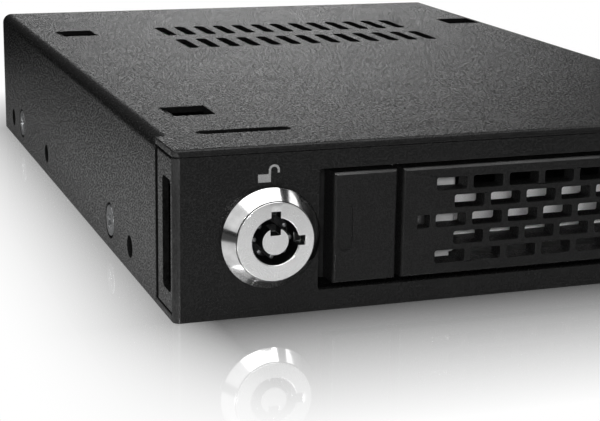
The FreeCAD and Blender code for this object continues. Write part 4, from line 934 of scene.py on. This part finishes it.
class TRAY_OT_stage(bpy.types.Operator):
    """Set the camera, the soft lights, the white floor and the world"""
    bl_idname = "tray.stage"
    bl_label = "Studio stage"

    def execute(self, context):
        self.set_camera(context)
        self.set_floor()
        self.set_world(context)
        self.set_lights(context)
        context.scene.view_settings.view_transform = "Standard"
        return {"FINISHED"}

    def set_camera(self, context):
        """The camera of the photograph, solved from the part's edges."""
        data = bpy.data.cameras.new("photo_camera")
        data.sensor_width = 36.0
        data.lens = 96.75
        data.shift_x = -0.0312
        data.shift_y = -0.0105
        data.clip_start = 0.01
        camera = bpy.data.objects.new("photo_camera", data)
        context.collection.objects.link(camera)
        ahead = Vector(CAMERA_AHEAD).normalized()
        side = ahead.cross(Vector(CAMERA_UP)).normalized()
        turn = Matrix((side, side.cross(ahead), -ahead)).transposed().to_4x4()
        camera.matrix_world = Matrix.Translation(CAMERA_PLACE) @ turn
        context.scene.camera = camera

    def set_floor(self):
        """A wide white floor under the part."""
        floor = fresh("studio_floor", bpy.ops.mesh.primitive_plane_add, size=FLOOR_SIZE,
                      location=(0, 0, -FLOOR_DROP))
        settle(floor)
        floor.data.materials.append(self.floor_acrylic())

    def floor_acrylic(self):
        """White acrylic sheet: pure white to the eye, with a mirror image that fades away from the part."""
        material, tree = new_material("floor_acrylic")
        place = add_node(tree, "ShaderNodeSeparateXYZ", {}, {
            0: add_node(tree, "ShaderNodeTexCoord").outputs["Object"]})
        fade = self.fade(tree, place, "LINEAR", MIRROR_FADES, 0.0)
        mirror_share = add_node(tree, "ShaderNodeMath", {"operation": "MULTIPLY"}, {
            0: fade, 1: MIRROR_SHARE})
        matt = add_node(tree, "ShaderNodeBsdfDiffuse", {}, {"Color": FLOOR_GREY})
        glow = add_node(tree, "ShaderNodeEmission", {}, {
            "Color": linear(colours().floor), "Strength": self.floor_glow(tree, place)})
        share = add_node(tree, "ShaderNodeMapRange", {}, {
            "Value": fade, "To Min": 1.0, "To Max": GLOW_SHARE})
        share = add_node(tree, "ShaderNodeMath", {"operation": "MULTIPLY"}, {
            0: self.seen(tree, "Camera", "Glossy", "Transmission"), 1: share.outputs[0]})
        base = add_node(tree, "ShaderNodeMixShader", {}, {
            0: share.outputs[0], 1: matt.outputs[0], 2: glow.outputs[0]})
        mirror = add_node(tree, "ShaderNodeBsdfGlossy", {}, {
            "Color": [1, 1, 1, 1], "Roughness": MIRROR_ROUGH})
        surface = add_node(tree, "ShaderNodeMixShader", {}, {
            0: mirror_share.outputs[0], 1: base.outputs[0], 2: mirror.outputs[0]})
        # From below the sheet is clear, so that the part's underside shows.
        surface = add_node(tree, "ShaderNodeMixShader", {}, {
            0: add_node(tree, "ShaderNodeNewGeometry").outputs["Backfacing"], 1: surface.outputs[0],
            2: add_node(tree, "ShaderNodeBsdfTransparent").outputs[0]})
        add_node(tree, "ShaderNodeOutputMaterial", {}, {"Surface": surface.outputs[0]})
        return material

    def floor_glow(self, tree, place):
        """White to the eye everywhere; in mirrors it dims away from the part, as under a small lamp."""
        start, end, level = GLOW_BACK
        back = add_node(tree, "ShaderNodeMapRange", {}, {
            "Value": place.outputs["Y"], "From Min": start, "From Max": end, "To Min": 1.0, "To Max": level})
        dimmed = add_node(tree, "ShaderNodeMath", {"operation": "MULTIPLY"}, {
            0: self.fade(tree, place, "SMOOTHSTEP", GLOW_FADES, GLOW_FAR), 1: back.outputs[0]})
        return add_node(tree, "ShaderNodeMath", {"operation": "MAXIMUM"}, {
            0: dimmed.outputs[0], 1: self.seen(tree, "Camera")}).outputs[0]

    def fade(self, tree, place, kind, rows, far):
        """Falls from 1 beside the part to another level far away, as a product over the axes."""
        level = 1.0
        for axis, start, end, power in rows:
            half = -getattr(CAD_BOX[0], axis.lower())
            away = add_node(tree, "ShaderNodeMath", {"operation": "ABSOLUTE"}, {0: place.outputs[axis]})
            ramp = add_node(tree, "ShaderNodeMapRange", {"interpolation_type": kind}, {
                "Value": away.outputs[0], "From Min": half + start, "From Max": half + end,
                "To Min": 1.0, "To Max": far})
            ramp = add_node(tree, "ShaderNodeMath", {"operation": "POWER"}, {0: ramp.outputs[0], 1: power})
            level = add_node(tree, "ShaderNodeMath", {"operation": "MULTIPLY"}, {
                0: level, 1: ramp.outputs[0]}).outputs[0]
        return level

    def seen(self, tree, *rays):
        """1 for rays of these kinds, and 0 for all others."""
        path = add_node(tree, "ShaderNodeLightPath").outputs
        level = 0.0
        for ray in rays:
            level = add_node(tree, "ShaderNodeMath", {"operation": "MAXIMUM"}, {
                0: level, 1: path[f"Is {ray} Ray"]}).outputs[0]
        return level

    def set_world(self, context):
        """A white backdrop behind the part as the camera sees it, in a room with a soft light in front."""
        world = bpy.data.worlds.new("studio_world")
        world.use_nodes = True
        tree = world.node_tree
        tree.nodes.clear()
        way = add_node(tree, "ShaderNodeTexCoord").outputs["Generated"]
        ahead = context.scene.camera.matrix_world.to_quaternion() @ Vector((0, 0, -1))
        ahead = Vector((ahead.x, ahead.y, 0)).normalized()
        back, left = [add_node(tree, "ShaderNodeVectorMath", {"operation": "DOT_PRODUCT"}, {
            0: way, 1: lean}).outputs["Value"] for lean in (ahead, Vector((-ahead.y, ahead.x, 0)))]
        aside = add_node(tree, "ShaderNodeMath", {"operation": "SUBTRACT"}, {0: left, 1: BACKDROP_LEFT})
        aside = add_node(tree, "ShaderNodeMath", {"operation": "ABSOLUTE"}, {0: aside.outputs[0]})
        height = add_node(tree, "ShaderNodeSeparateXYZ", {}, {0: way}).outputs["Z"]
        measures = {"aside": aside.outputs[0], "back": back, "height": height}
        lights = []
        for ramps in (BACKDROP, FRONT_GLOW):
            level = 1.0
            for measure, start, end, first, last in ramps:
                ramp = add_node(tree, "ShaderNodeMapRange", {"interpolation_type": "SMOOTHSTEP"}, {
                    "Value": measures[measure], "From Min": start, "From Max": end,
                    "To Min": first, "To Max": last})
                level = add_node(tree, "ShaderNodeMath", {"operation": "MULTIPLY"}, {
                    0: level, 1: ramp.outputs[0]}).outputs[0]
            lights.append(level)
        room_level = add_node(tree, "ShaderNodeMath", {"operation": "ADD"}, {0: lights[0], 1: lights[1]})
        room = add_node(tree, "ShaderNodeBackground", {}, {
            "Color": [1, 1, 1, 1], "Strength": room_level.outputs[0]})
        white = add_node(tree, "ShaderNodeBackground", {}, {
            "Color": linear(colours().floor), "Strength": 1.0})
        mixed = add_node(tree, "ShaderNodeMixShader", {}, {
            0: self.seen(tree, "Camera", "Transmission"), 1: room.outputs[0], 2: white.outputs[0]})
        add_node(tree, "ShaderNodeOutputWorld", {}, {"Surface": mixed.outputs[0]})
        context.scene.world = world

    def set_lights(self, context):
        """Soft lamps, each with its place, aim, width, height and power in watts."""
        flash = context.scene.camera.matrix_world @ Vector(FLASH_PLACE)
        lights = (
            ("overhead_softbox", (-0.1, 0.0, 0.55), (-0.1, 0.0, 0.0), 0.7, 0.6, 5.5),
            ("left_softbox", (-0.55, -0.05, 0.4), (0.0, 0.0, 0.03), 0.6, 0.75, 1.2),
            ("front_softbox", flash, (0.0, -0.073, 0.012), 0.06, 0.06, 2.0),
            ("right_softbox", (0.62, 0.16, 0.36), (0.0, 0.0, 0.02), 0.6, 0.6, 2.6),
        )
        for name, place, aim, wide, tall, power in lights:
            data = bpy.data.lights.new(name, "AREA")
            data.shape = "RECTANGLE"
            data.size = wide
            data.size_y = tall
            data.energy = power
            lamp = bpy.data.objects.new(name, data)
            lamp.location = place
            lamp.rotation_euler = (Vector(aim) - Vector(place)).to_track_quat("-Z", "Y").to_euler()
            lamp.visible_camera = False
            context.collection.objects.link(lamp)


class TRAY_PT_panel(bpy.types.Panel):
    """Lists the steps that dress the tray"""
    bl_idname = "TRAY_PT_panel"
    bl_label = "Drive tray"
    bl_space_type = "VIEW_3D"
    bl_region_type = "UI"
    bl_category = "Drive tray"

    def draw(self, context):
        for step in STEPS:
            self.layout.operator(step.bl_idname)


STEPS = (TRAY_OT_finishes, TRAY_OT_shells, TRAY_OT_mouldings, TRAY_OT_drive, TRAY_OT_lock, TRAY_OT_screws,
         TRAY_OT_fittings, TRAY_OT_mark, TRAY_OT_contacts, TRAY_OT_stage)
CLASSES = (TraySizes, TrayColours, *STEPS, TRAY_PT_panel)


def register():
    for item in CLASSES:
        bpy.utils.register_class(item)
    bpy.types.Scene.tray_sizes = bpy.props.PointerProperty(type=TraySizes)
    bpy.types.Scene.tray_colours = bpy.props.PointerProperty(type=TrayColours)


def unregister():
    del bpy.types.Scene.tray_colours
    del bpy.types.Scene.tray_sizes
    for item in reversed(CLASSES):
        bpy.utils.unregister_class(item)


def main():
    register()
    bpy.ops.tray.finishes()
    bpy.ops.tray.shells()
    bpy.ops.tray.mouldings()
    bpy.ops.tray.drive()
    bpy.ops.tray.lock()
    bpy.ops.tray.screws()
    bpy.ops.tray.fittings()
    bpy.ops.tray.mark()
    bpy.ops.tray.contacts()
    bpy.ops.tray.stage()


if __name__ == "__main__":
    main()
